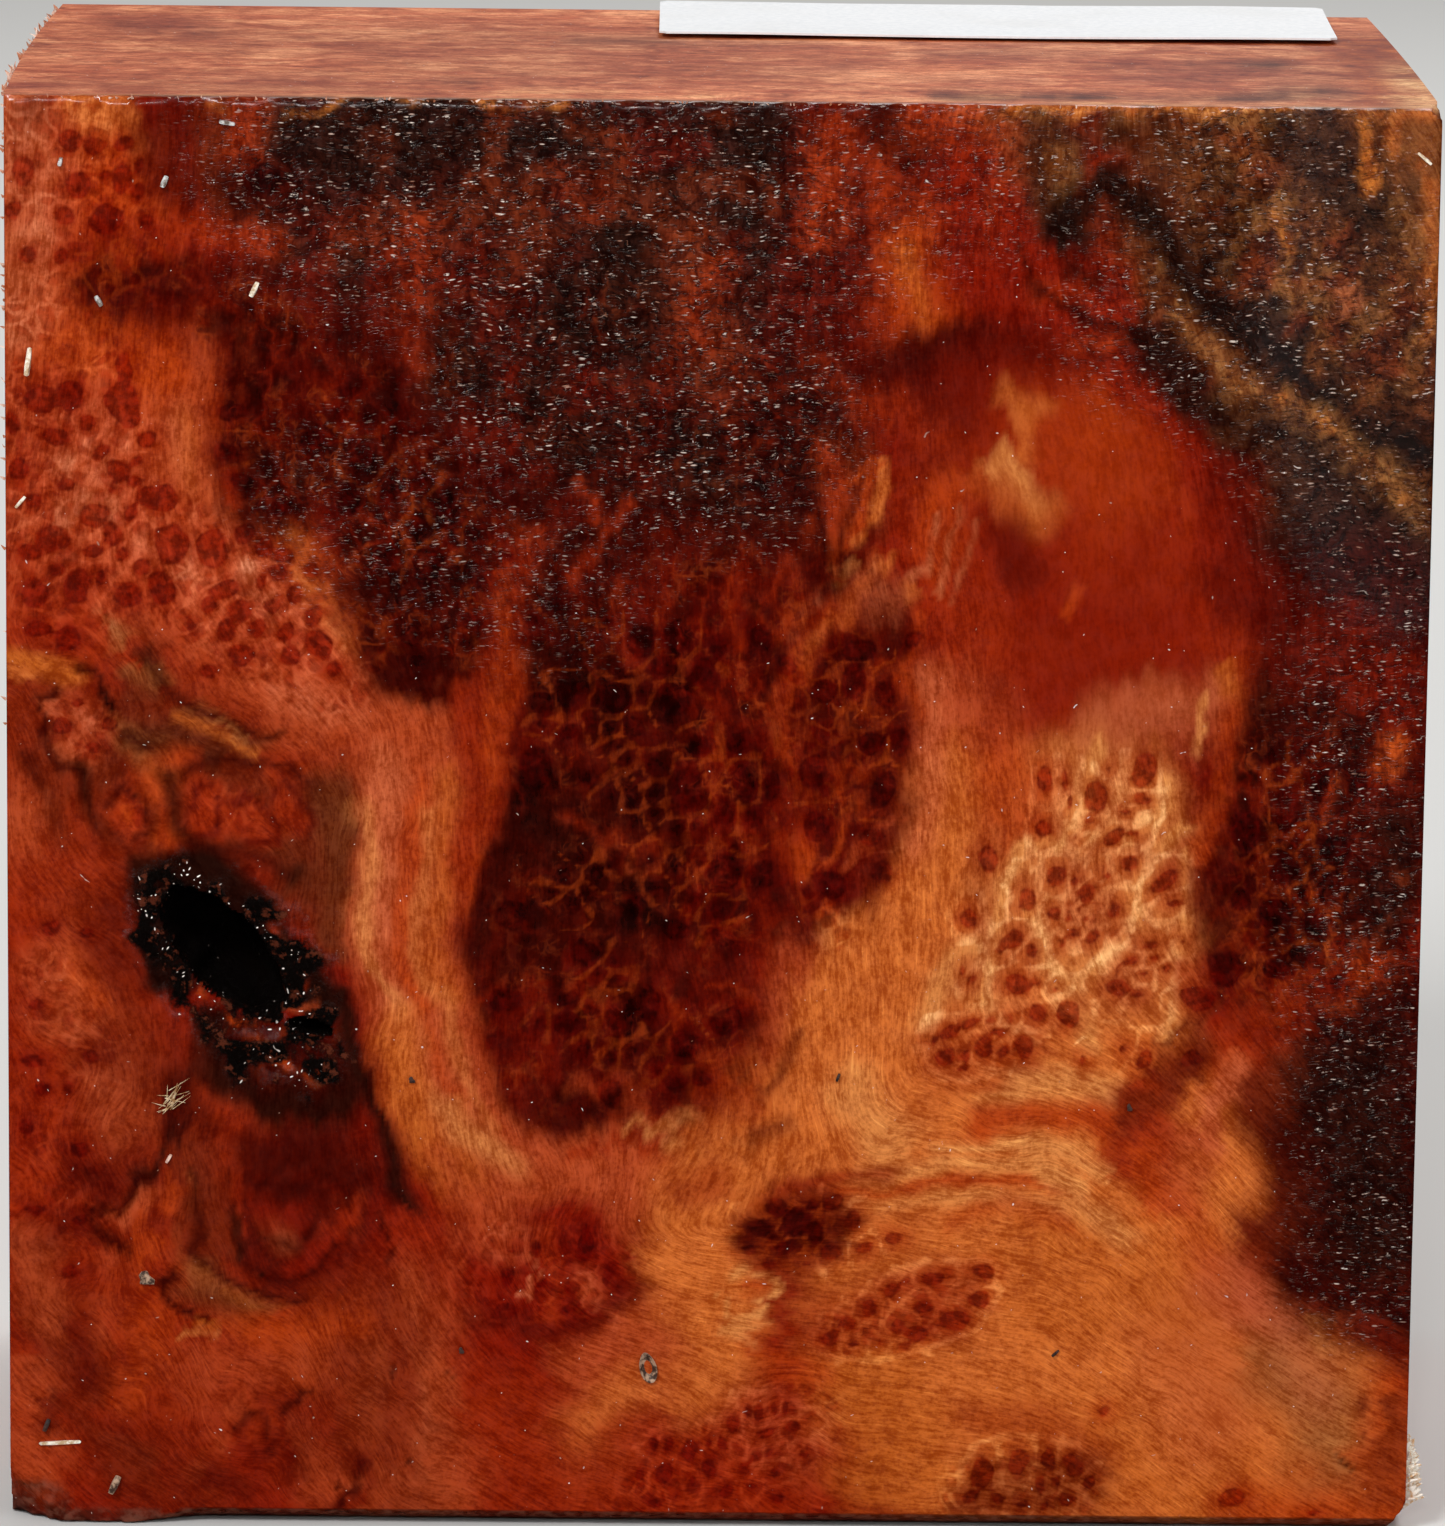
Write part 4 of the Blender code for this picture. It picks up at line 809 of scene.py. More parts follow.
# Grain
# The fibres of the wood flow down the face and bend round the islands. They follow these lines, drawn
# from the top down or from the left to the right. The contours of a height field follow the lines, and
# the material runs its fibres along the contours.
GRAIN_LINES = [
    [(2, 156), (2, 140), (1, 122), (3, 104)],
    [(14, 150), (12, 136), (16, 124), (20, 108), (30, 99), (40, 92)],
    [(28, 150), (27, 132), (30, 116), (40, 104), (46, 94), (42, 84), (41, 72), (43, 60), (47, 50),
        (55, 42), (66, 39)],
    [(50, 156), (54, 132), (52, 112), (51, 96), (49, 80), (48, 66), (50, 52)],
    [(76, 156), (74, 136), (72, 118), (68, 100), (66, 84), (64, 66), (62, 52)],
    [(90, 152), (92, 134), (90, 118), (84, 106), (84, 90), (82, 72), (80, 58)],
    [(104, 100), (103, 88), (100, 74), (95, 62), (91, 52), (84, 44), (74, 40), (62, 38)],
    [(110, 152), (104, 140), (96, 126), (97, 112), (99, 104)],
    [(118, 124), (116, 112), (108, 100)],
    [(126, 150), (130, 136), (140, 126), (151, 116)],
    [(134, 156), (142, 146), (151, 134)],
    [(132, 94), (130, 80), (128, 66), (127, 54), (130, 42), (138, 30), (150, 22)],
    [(145, 100), (147, 80), (146, 60), (148, 40)],
    [(0, 96), (8, 97), (14, 92), (22, 88), (34, 86)],
    [(2, 84), (4, 74), (10, 70), (20, 74)],
    [(0, 60), (8, 56), (16, 46), (18, 36), (24, 28), (34, 25), (40, 30)],
    [(36, 62), (38, 50), (41, 38), (46, 28), (58, 19), (70, 24)],
    [(0, 30), (10, 26), (18, 20), (30, 16), (44, 12)],
    [(50, 4), (60, 12), (72, 22), (84, 30)],
    [(92, 46), (104, 44), (114, 45), (122, 43)],
    [(96, 40), (108, 38), (118, 32), (128, 20)],
    [(88, 16), (98, 22), (108, 26), (120, 24), (132, 14)],
    [(100, 2), (110, 12), (122, 12), (140, 8)],
]
GRAIN_REACH = 5.0
rows_across, rows_up = int(WIDTH) + 1, int(HEIGHT) + 1
grid_across, grid_up = np.meshgrid(np.arange(rows_across), np.arange(rows_up), indexing="ij")
flow = np.zeros((2, rows_across, rows_up))
for line in GRAIN_LINES:
    for start, end in zip(line, line[1:]):
        length = math.dist(start, end)
        reach = away(grid_across, grid_up, [start, end])
        pull = 1 / (reach ** 2 + GRAIN_REACH ** 2) ** 1.5
        flow[0] += pull * -(end[1] - start[1]) / length
        flow[1] += pull * (end[0] - start[0]) / length
flow /= np.hypot(*flow) + 1e-9
ways = [(flow[0][1:] + flow[0][:-1]) / 2, (flow[1][:, 1:] + flow[1][:, :-1]) / 2]
spread = np.zeros((rows_across, rows_up))
spread[:-1] += ways[0]
spread[1:] -= ways[0]
spread[:, :-1] += ways[1]
spread[:, 1:] -= ways[1]
mirrored = np.block([[spread, spread[:, ::-1]], [spread[::-1], spread[::-1, ::-1]]])
bends = [2 * np.cos(math.pi * np.arange(2 * count) / count) - 2 for count in (rows_across, rows_up)]
stiff = bends[0][:, None] + bends[1][None]
stiff[0, 0] = 1
contour = np.fft.ifft2(np.fft.fft2(mirrored) / stiff).real[:rows_across, :rows_up]


def at(field, across, up):
    """Reads a field of one value for each millimetre of the front face."""
    a = np.clip(across, 0, field.shape[0] - 1.001)
    u = np.clip(up, 0, field.shape[1] - 1.001)
    i, j = a.astype(int), u.astype(int)
    s, t = a - i, u - j
    low = field[i, j] * (1 - s) + field[i + 1, j] * s
    high = field[i, j + 1] * (1 - s) + field[i + 1, j + 1] * s
    return low * (1 - t) + high * t


def zone(stains):
    """Share of a trait of the front face, from lines with a half width and a softness."""
    cover = np.zeros(len(across))
    for half, soft, strength, line in stains:
        cover = np.maximum(cover, strength * ramp(half + soft - away(across, up, line), 0, 2 * soft))
    return cover


# The fibres curl where the figure is wild
CURLS = [
    (13, 6, 1, [(12, 34), (20, 14), (34, 10)]), (9, 5, 0.9, [(6, 92), (28, 80)]),
    (6, 4, 0.7, [(5, 66), (8, 52)]), (7, 4, 0.8, [(58, 28)]), (8, 5, 0.7, [(66, 8), (84, 10)]),
    (8, 5, 0.5, [(100, 116), (112, 112)]), (12, 6, 0.6, [(100, 40), (124, 24)]),
    (8, 4, 0.5, [(40, 60), (42, 76)]),
]
curl = zone(CURLS)
grain = at(contour, across, up) + 0.5 * lumps(across, up, 6, 7.0, 31)
grain += curl * (2.6 * lumps(across, up, 7, 7.0, 32) + 0.9 * lumps(across, up, 8, 3.0, 33))
grain = grain * (1 - 0.8 * ramp(deep, 0, 9)) + deep

# Eyes
# Each eye is a pin knot of the burl, cut across by the saw. Some stand alone in the pale wood, and others
# crowd together as lace. An eye has a place across and up, its half sizes and, where it leans, its lean
# in degrees.
LONE_EYES = [
    # pale wood right of the centre
    (111.3, 83.6, 0.8, 1.5), (113.3, 83.2, 0.4, 1.3), (113.8, 80.9, 0.35, 0.9, 10),
    (116.7, 81.8, 1.1, 1.6), (118, 84.5, 0.35, 0.35), (121.7, 84.5, 1.3, 2, -10),
    (121.7, 81.5, 0.9, 0.5), (119.9, 79.9, 0.6, 0.5), (118.8, 77.4, 1.5, 0.8, 30),
    (120.8, 77.7, 0.7, 0.4), (111.1, 78.1, 1.1, 0.9), (114.7, 77.2, 0.35, 0.4),
    (116.3, 79.3, 0.5, 0.4), (120.5, 74.4, 1, 0.9), (105.3, 74.9, 1.2, 1.5),
    (112.6, 73.1, 1, 1.1), (114.5, 72.6, 0.5, 0.6), (115.8, 71, 1, 0.9),
    (118, 73, 0.7, 0.5, -20), (124.4, 72.4, 1.8, 0.9, 35), (125.5, 70.2, 1, 0.5),
    (109.6, 70.5, 1, 1.4), (112.6, 68.7, 0.8, 0.9), (114.3, 69.7, 0.4, 0.4),
    (114.2, 68.4, 0.35, 0.35), (116, 68.5, 0.35, 0.35), (117.4, 69.9, 0.35, 0.4),
    (117.1, 68.4, 0.4, 0.35), (115.2, 69.3, 0.3, 0.3), (116.7, 67.6, 0.3, 0.3),
    (118.9, 69.2, 0.8, 0.9), (116.6, 66.4, 0.8, 0.8), (114.5, 66.5, 0.6, 0.6),
    (113.3, 65.8, 0.4, 0.5), (103.3, 68.2, 1, 1.2), (108, 65.9, 1.5, 0.9, 20),
    (110.2, 64.6, 0.7, 0.9), (106.8, 64.5, 0.5, 0.5), (108.6, 61, 1.5, 0.9),
    (110.8, 61.4, 0.5, 0.5), (102.9, 62.3, 0.4, 0.6), (103.9, 61.4, 0.5, 0.5),
    (122.9, 65.6, 0.9, 0.4, 10), (120.7, 63.9, 1, 0.5, 20), (119.6, 62.7, 0.5, 0.5),
    (123.4, 64, 0.7, 0.5), (124.8, 62.8, 0.6, 0.6), (122.2, 62.4, 0.6, 0.4),
    (119.5, 60.7, 1.4, 0.9, -10), (121.4, 59.8, 0.7, 0.5, -20), (111, 57.8, 0.9, 1),
    (114.2, 57.6, 1.2, 1.4), (122.4, 52.8, 0.8, 1.1, -30), (120.3, 53.9, 0.4, 0.5),
    (116, 52.4, 0.4, 0.7), (128.1, 59.6, 1.8, 1.3), (127.6, 52.9, 1.3, 0.9),
    (112.8, 60.4, 0.3, 0.3), (126.4, 66.2, 0.4, 0.5), (119.2, 66.9, 0.3, 0.3),
    # the cluster under them
    (101.4, 55.6, 1.1, 0.7), (101, 52.9, 1.2, 1), (103, 53.2, 0.5, 1, 20),
    (105.2, 54, 1, 1.2, 20), (103.7, 56.6, 1.2, 0.6, 10), (106.8, 55.8, 1, 0.6),
    (109.5, 54, 1.1, 1.3), (105.8, 57.2, 0.6, 0.4), (107.4, 53.4, 0.5, 0.9, -20),
    (102.9, 51.6, 0.7, 0.4), (99.6, 54.6, 0.4, 0.6), (108, 57.2, 0.4, 0.4),
    # leaning cluster at the bottom and its neighbours
    (89, 21.5, 1, 1.1), (90.8, 23.2, 1.1, 1), (93.2, 25, 1.1, 1.1),
    (93, 22.4, 0.6, 0.5), (95.8, 27, 1.2, 0.9, 20), (96.5, 23, 0.9, 0.9),
    (98.5, 22, 1.3, 0.9), (99, 25, 1.1, 0.8, 20), (97, 20.6, 0.9, 0.6),
    (100, 28.2, 1.4, 0.8, 10), (102.5, 23.5, 1.9, 1.1), (105, 26, 1.2, 0.9),
    (105.5, 29, 1.1, 0.8), (94.6, 21.2, 0.5, 0.5), (97.2, 27.8, 0.5, 0.4),
    (91.4, 20.6, 0.6, 0.5), (83, 36, 1.4, 1.1), (85.2, 34.4, 1.6, 1.5), (81, 33.6, 1.3, 1),
    (80, 31.4, 1, 0.7), (84, 31.5, 1.2, 0.8), (87.2, 33.2, 0.9, 1.2), (88.8, 31.2, 1.2, 1.1),
    (89.2, 36.6, 1.2, 0.9, 20), (91.2, 34.6, 0.9, 1), (92.6, 31.4, 0.9, 0.7, 20),
    (95.8, 32.5, 0.9, 0.7), (82.4, 29.8, 0.9, 0.5), (86.4, 29.8, 0.5, 0.5),
    (86.8, 36.4, 0.8, 0.7), (82.6, 32.6, 0.5, 0.5),
    # lace along the bottom
    (78.5, 11.6, 0.7, 1.2), (80, 13.2, 0.6, 0.7), (81.3, 13, 0.7, 1, 20), (83, 13.4, 0.5, 0.7),
    (82, 10.8, 1.2, 0.7, 10), (85, 11.4, 1.1, 0.7, 20), (84.4, 13.6, 0.5, 0.9),
    (76.2, 6.7, 0.7, 1.2, 20), (74, 8.7, 0.8, 1.3), (71.6, 9.2, 0.6, 1), (69.8, 9.2, 0.5, 1),
    (71, 6, 1.1, 1.3), (77.4, 9.4, 0.5, 1), (79.3, 9.2, 0.4, 0.6), (77.7, 4, 1.1, 0.8),
    (79.6, 7, 0.6, 0.7), (83, 6.4, 0.5, 0.5), (81, 8.2, 0.8, 0.6, 30), (83.5, 3.6, 0.8, 0.6),
    (86.4, 8.2, 0.7, 0.6), (68.5, 6, 0.6, 0.8), (70, 2.8, 0.9, 0.6), (74.4, 5.4, 0.5, 0.7),
    (72.6, 3.4, 0.5, 0.4), (80.8, 4.6, 0.6, 0.5), (75.8, 9.8, 0.4, 0.6), (82.6, 8.6, 0.5, 0.5),
    (105.8, 6.2, 1.2, 1.9), (109.7, 7.8, 1.2, 1.7), (113, 8.2, 0.8, 1.4),
    (115.8, 7.4, 1.2, 1.4, 20), (112, 5.2, 0.6, 1.1), (117.4, 5.6, 0.9, 1),
    (107.6, 3.4, 0.9, 0.7), (110, 3, 0.9, 0.5), (112.6, 2.8, 0.6, 0.6), (115, 3.6, 0.9, 0.6),
    (104.4, 3.8, 1, 0.8), (114, 5.4, 0.5, 0.8),
    # red round spot
    (54, 28, 0.9, 1.3), (61, 27, 0.9, 0.8), (62.4, 32.2, 0.8, 1.9, 10), (62.2, 30.4, 1, 0.7),
    (64.8, 28.2, 0.7, 1.2), (57, 31.2, 0.5, 0.8), (54.4, 31, 0.6, 0.5), (54, 24.4, 0.6, 0.5),
    (60.4, 24.6, 0.7, 0.5), (57.6, 27.2, 0.5, 0.7),
    # left lace
    (4, 123.4, 1.9, 1.4), (6.8, 124, 1.8, 1.5), (12.6, 126.8, 1, 1.9), (12.6, 123, 1.8, 2.8, 20),
    (15, 119.5, 1.2, 0.9), (10.2, 118, 1, 1.1), (12, 115.9, 1.4, 1.2), (13.9, 117, 0.9, 0.6),
    (11.5, 113.9, 0.6, 0.6), (13.6, 114.7, 0.9, 0.6), (16.3, 113.1, 2.4, 1.5),
    (3, 112.6, 1, 1), (9.5, 111.2, 1.8, 1.2), (5, 108.6, 1.8, 1.6),
    (2.5, 107.2, 1.4, 1), (11.5, 109.2, 1, 1.6, 30), (12.4, 107, 1, 0.8),
    (9.3, 107.4, 1.1, 0.6), (7.6, 103.6, 1.4, 1.8), (13, 102.6, 1.5, 1.6),
    (16.6, 103.4, 1.4, 2, 20), (17.6, 108, 1.9, 2.4), (22, 107.6, 1.8, 2.2, 20),
    (23.4, 103.4, 1.6, 1, 20), (3, 102.6, 1.6, 1.9, 30), (27.5, 108, 1, 1),
    (29.5, 107.1, 1.1, 1), (25.5, 109.4, 1.1, 1.1), (29, 105, 1, 0.9), (31, 103, 1, 1.2),
    (24.8, 101, 1.2, 1.4), (26.8, 99, 1, 1.2), (23.6, 98.8, 1.1, 1.2), (25.2, 96.2, 1.4, 1.1),
    (28.4, 101.4, 0.9, 1), (29.8, 98.6, 1, 1.2), (30.4, 96.2, 1.2, 1.2),
    (33, 100.6, 0.9, 1.2), (33.4, 97.4, 1.4, 1.8, 20), (35, 95, 1, 0.9), (21.6, 94.4, 1.1, 0.8),
    (6.5, 97.8, 1.6, 1.4), (3.6, 98.8, 1.5, 0.8), (21.6, 101.4, 0.8, 1),
    (19.6, 99.6, 0.6, 0.9), (27.4, 104, 0.6, 0.8), (32.6, 105.6, 0.8, 0.9),
    (1.4, 116, 1.1, 1.4), (6.4, 114.6, 1, 0.8), (5.4, 119.6, 1.5, 1.1), (0.8, 121, 1.1, 1.2),
    (8.6, 121, 0.9, 1), (13.4, 111.4, 0.8, 1), (14.6, 105.6, 0.9, 1),
    (10.2, 104.4, 0.8, 1), (5.4, 105.4, 0.9, 0.8),
    # upper left corner
    (7, 151.2, 1.2, 1.1), (9.6, 150.8, 1.4, 1.1), (12.6, 150.9, 1.2, 0.9),
    (7.9, 146.5, 1.6, 1.4), (12.5, 147.4, 1.1, 1.6), (14.2, 145.8, 1.1, 0.9),
    (6.5, 143.2, 1.1, 1.2), (11, 143, 2, 1.5), (15, 142.6, 0.8, 0.9), (6, 139, 0.9, 0.9),
    (2, 148, 1.2, 1.8), (10.6, 147.6, 0.6, 0.8), (14.4, 148.6, 0.6, 1.1), (2.4, 139, 1, 1),
    (1, 143.6, 1, 1),
    # dark cells of the island
    (57, 91.4, 1.5, 1.4), (56.6, 84, 1.9, 2.4), (60, 92.4, 1.6, 1.4), (65, 92, 1.8, 1.6),
    (67.8, 98, 1.6, 2), (71.6, 91.6, 1.9, 1.7), (71.6, 98.6, 1.6, 1.8), (73, 82, 1.6, 2.2),
    (74.4, 95, 1.3, 1.5), (79, 83, 1.1, 1.9), (82, 82.4, 1, 1.7), (80, 78.4, 1, 1.5),
    (77, 79.6, 1.3, 1.4), (77, 73, 1.7, 1.8), (81, 72.8, 1.4, 1.6), (86.6, 84, 1.6, 2),
    (87, 78, 1.3, 1.8), (88.5, 71.6, 1.7, 1.5), (90.6, 94, 1.4, 2), (87.6, 93, 1.3, 1.4),
    (91, 97.4, 1.9, 1.3), (93.8, 92.8, 1.3, 1.5), (95.6, 87.4, 1.1, 1.6),
    (92.6, 87.4, 1.3, 1.4), (93.8, 82, 1.4, 2.2, -20), (92.6, 77, 1.3, 1), (94, 73, 1.2, 1.4, -30),
    (66, 57, 1.9, 1.9), (69, 58.4, 1.4, 2.1), (77.4, 56.6, 1.9, 1.6), (73, 54, 1.8, 1.5),
    (72, 49.6, 1.3, 0.8), (74.8, 50, 1.1, 0.8), (52, 54, 0.8, 1), (53.4, 58.6, 1.9, 1.4),
    (83.4, 95.6, 0.9, 1.3), (80.6, 98.6, 1.1, 1.5), (76, 97.6, 1, 1.6), (74.6, 87, 1.5, 1.2),
    (78, 87, 1.3, 1.1), (97, 98.4, 0.8, 1), (62, 64, 1.6, 1.5), (71.6, 66.6, 1.5, 1.3),
    (77, 65.8, 1.5, 1), (65, 48.6, 1.4, 1.8), (54, 68, 1.6, 1.6), (60, 56, 1.5, 1.3),
    # dark lace of the upper left and of the right side
    (24.4, 122.6, 1.8, 1), (23.4, 118.2, 1.5, 1.2), (25, 115, 1.3, 1),
    (29.4, 112.4, 1.3, 1.2), (33, 119, 1.4, 1.6), (38, 117.4, 1.5, 1.7),
    (36.4, 112.6, 1.4, 1.4), (41, 113.6, 1.3, 1.9), (45, 106, 1.8, 2), (40.4, 107, 1.4, 1.4),
    (27.6, 147.4, 1.7, 1.7), (47, 112, 1.4, 2), (133, 78, 1.8, 2.2), (137.2, 80.6, 1.4, 2.5),
    (137, 73.6, 1.7, 1.4), (136, 69, 2, 1.5), (142.6, 76, 1.6, 1.6), (142, 71.6, 1.2, 1.8),
    (140.8, 83, 1, 1.8), (131, 63, 1.9, 1.9), (136.6, 63, 1.6, 1.3), (132.6, 70.4, 1.2, 1.3),
    (145, 83, 1, 1.6),
    # spots on the lower right
    (119, 13.7, 0.8, 0.6), (133, 4, 1.5, 0.9, 20), (142, 2.2, 0.9, 0.6),
    # left edge below the lace
    (6.6, 28, 1.1, 0.7), (3.8, 48.4, 0.8, 0.8), (6.4, 48.4, 0.8, 0.8), (7.8, 41.6, 1, 0.8),
    (2, 44, 1, 1.2), (4.6, 66.2, 1, 0.8), (2.6, 51.4, 1.2, 0.7), (8.4, 65.6, 0.8, 0.7),
    (3, 57.6, 0.9, 0.7), (7.6, 34, 0.8, 0.6), (2.8, 35, 1.1, 0.6), (9, 52, 1, 0.7),
    (6, 88.2, 1.3, 0.8), (9.4, 86, 0.9, 0.8), (7.6, 90.8, 0.9, 0.7), (11, 88.4, 0.8, 1),
]
# Crowds of small eyes: half the crowd's width, how many, the smallest and largest half size, and the line
EYE_CROWDS = [
    (8, 22, 0.5, 1.3, [(60, 100), (62, 70)]),
    (8, 20, 0.5, 1.3, [(70, 92), (74, 70)]),
    (6, 10, 0.4, 1, [(60, 58), (70, 54)]),
    (6, 20, 0.5, 1.2, [(36, 120), (50, 112), (44, 100)]),
    (5, 12, 0.5, 1.2, [(136, 84), (140, 64)]),
]
TRIES_PER_EYE = 40
eyes = list(LONE_EYES)
dice = np.random.default_rng(40)
for half, count, smallest, largest, line in EYE_CROWDS:
    first = len(eyes)
    for _ in range(count * TRIES_PER_EYE):
        if len(eyes) - first >= count:
            break
        leg = dice.integers(len(line) - 1)
        slide = dice.random()
        turn = dice.uniform(0, 2 * math.pi)
        off = half * math.sqrt(dice.random())
        middle = [s + (e - s) * slide for s, e in zip(line[leg], line[leg + 1])]
        middle = (middle[0] + off * math.cos(turn), middle[1] + off * math.sin(turn))
        size = smallest + (largest - smallest) * dice.random() ** 1.6
        squash = dice.uniform(0.75, 1.3)
        gap = 0.3 + 0.25 * dice.random()
        if all(math.dist(middle, eye[:2]) > size + (eye[2] + eye[3]) / 2 + gap for eye in eyes):
            eyes.append((*middle, size * squash, size / squash, dice.uniform(-60, 60)))

# The distance of each point of the face from the nearest eye and from the next one, up to FAR mm
FAR = 3.0
wobble = [0.35 * lumps(across, up, 7 + axis, 1.3, 41 + axis) for axis in (0, 1)]
edges = np.full((2, len(across)), FAR)
for a, u, half_across, half_up, *lean in eyes:
    near = np.flatnonzero((np.abs(across - a) < 6) & (np.abs(up - u) < 6))
    share = ring(across[near] + wobble[0][near], up[near] + wobble[1][near], (a, u), (half_across, half_up),
                 math.radians(sum(lean)))
    edge = (share - 1) * math.sqrt(half_across * half_up)
    first, second = edges[:, near]
    edges[0, near] = np.minimum(first, edge)
    edges[1, near] = np.minimum(second, np.maximum(first, edge))

# Pale walls stand where two eyes meet, and along these lines
WALLS = [
    [(112.6, 86), (112.5, 80), (113, 76.6)],
    [(115.3, 86), (115, 82), (115.6, 79.4), (114, 76)],
    [(119.4, 87), (119.2, 82.8), (118.2, 79.4), (116.6, 76.4), (113.7, 75.2), (110.5, 75.6), (108, 74.4),
        (107.3, 71.6), (107.8, 68.4)],
    [(123.7, 86), (124, 81), (123.2, 77.6), (122.2, 75.4), (121.8, 72.3), (121.2, 69.6), (120.2, 67.2),
        (118, 65), (116, 62.4), (115.6, 60)],
    [(116.6, 59.2), (117.4, 57.4), (121, 56.6), (125.3, 56)],
    [(111.4, 67), (112.2, 64.2), (113.6, 62), (116, 62.4)],
    [(107.4, 68.4), (105.6, 67), (105.2, 64.2), (105.8, 61.4), (106.4, 59.4), (109.4, 59), (112.6, 59.6),
        (114.4, 60.2)],
    [(112.6, 59.6), (112.8, 57.2), (112.2, 55.8), (109.6, 56)],
    [(101.2, 68.4), (102, 70.6), (104.4, 70.6), (105.5, 68), (104, 65.8), (101.8, 66.2), (101.2, 68.4)],
    [(125.4, 67.4), (125.6, 64), (126, 60.7), (125.4, 57.2)],
    [(122.4, 75), (125.2, 75.8), (127.4, 74.4), (127.1, 70.4), (125.6, 68.2), (123.2, 67.8), (121.2, 69.4)],
    [(117.6, 75.8), (119, 72), (117.8, 70.8)],
    [(111.2, 75.2), (110.8, 72), (111.4, 67.4)],
    [(120.4, 87), (120, 82.4)],
    [(110, 84.6), (109.8, 81), (109.4, 77), (110.4, 75.6)],
    [(118.4, 76), (120.8, 75.8), (122.6, 76.6)],
    [(99.6, 57.2), (102, 57.4), (104.4, 58.2), (108.4, 58.4)],
    [(98.6, 53), (99.8, 51.4), (103, 50.6), (107, 51.4)],
    # left lace
    [(10.4, 126), (11.2, 121), (10, 119.6)],
    [(14.4, 125), (14.6, 121), (13, 118.6), (9, 116), (8, 112.6)],
    [(1, 118), (5, 117), (8.4, 118.8)],
    [(7.4, 109.6), (8, 106), (5, 101.4), (1, 100.4)],
    [(14.6, 109), (14.6, 106.8), (11, 105.6)],
    [(20, 111), (19.6, 107), (20.6, 104), (20, 100.6)],
    [(24.4, 106), (26.4, 104.4), (28, 101.6), (26.4, 97.4)],
    [(31.4, 106), (30.8, 104), (31.4, 100.6), (31.4, 97), (31.8, 94.6)],
    [(35, 100), (35.4, 96.6), (33.4, 94.4)],
    [(23, 96.6), (21.4, 97.6), (22.4, 99.6)],
    [(9.4, 113.2), (13, 112.8), (14, 110.2)],
    [(5, 126.4), (9, 126.6)],
    # clusters near the bottom
    [(86.8, 20), (88, 23.4), (91.4, 25.4), (95, 28.6), (99, 30), (103, 30.4), (107, 29.6), (107.4, 26.6),
        (104.4, 22.4), (100.6, 20.8), (96, 19.4), (91.6, 19), (86.8, 20)],
    [(68, 9), (70, 11), (74, 11.4), (77, 12.6), (78.6, 15), (84, 15.6), (88, 13)],
    [(76.8, 10.6), (77, 7.4), (78.6, 5.6)],
    [(102.6, 6), (104.8, 9.4), (108, 10.8), (112, 10.8), (116, 10), (118.8, 7)],
    [(107.6, 9), (107.8, 5), (109, 3.6)],
]
walls = np.full(len(across), FAR)
for line in WALLS:
    walls = np.minimum(walls, away(across + 1.4 * wobble[1], up + 1.4 * wobble[0], line))
eye_edge = edges[0]
wall_gap = edges[1] - edges[0] + 1.2 * ramp(edges[1], 1.6, 2.9)
wall_gap = np.minimum(wall_gap, 1.3 * walls)

# Where the saw left wet, torn rows: half a width, a softness, a strength and a line for each zone
SAWN = [
    (17, 8, 1, [(40, 150), (76, 142)]), (10, 6, 0.6, [(90, 148), (108, 151)]),
    (12, 6, 1, [(58, 127), (78, 122)]), (13, 6, 1, [(134, 148), (150, 112)]),
    (5, 4, 0.8, [(118, 146), (124, 132)]), (8, 5, 0.8, [(145, 96), (148, 30)]),
    (6, 5, 0.7, [(118, 132), (132, 126)]), (9, 6, 0.5, [(36, 112), (60, 106)]),
]

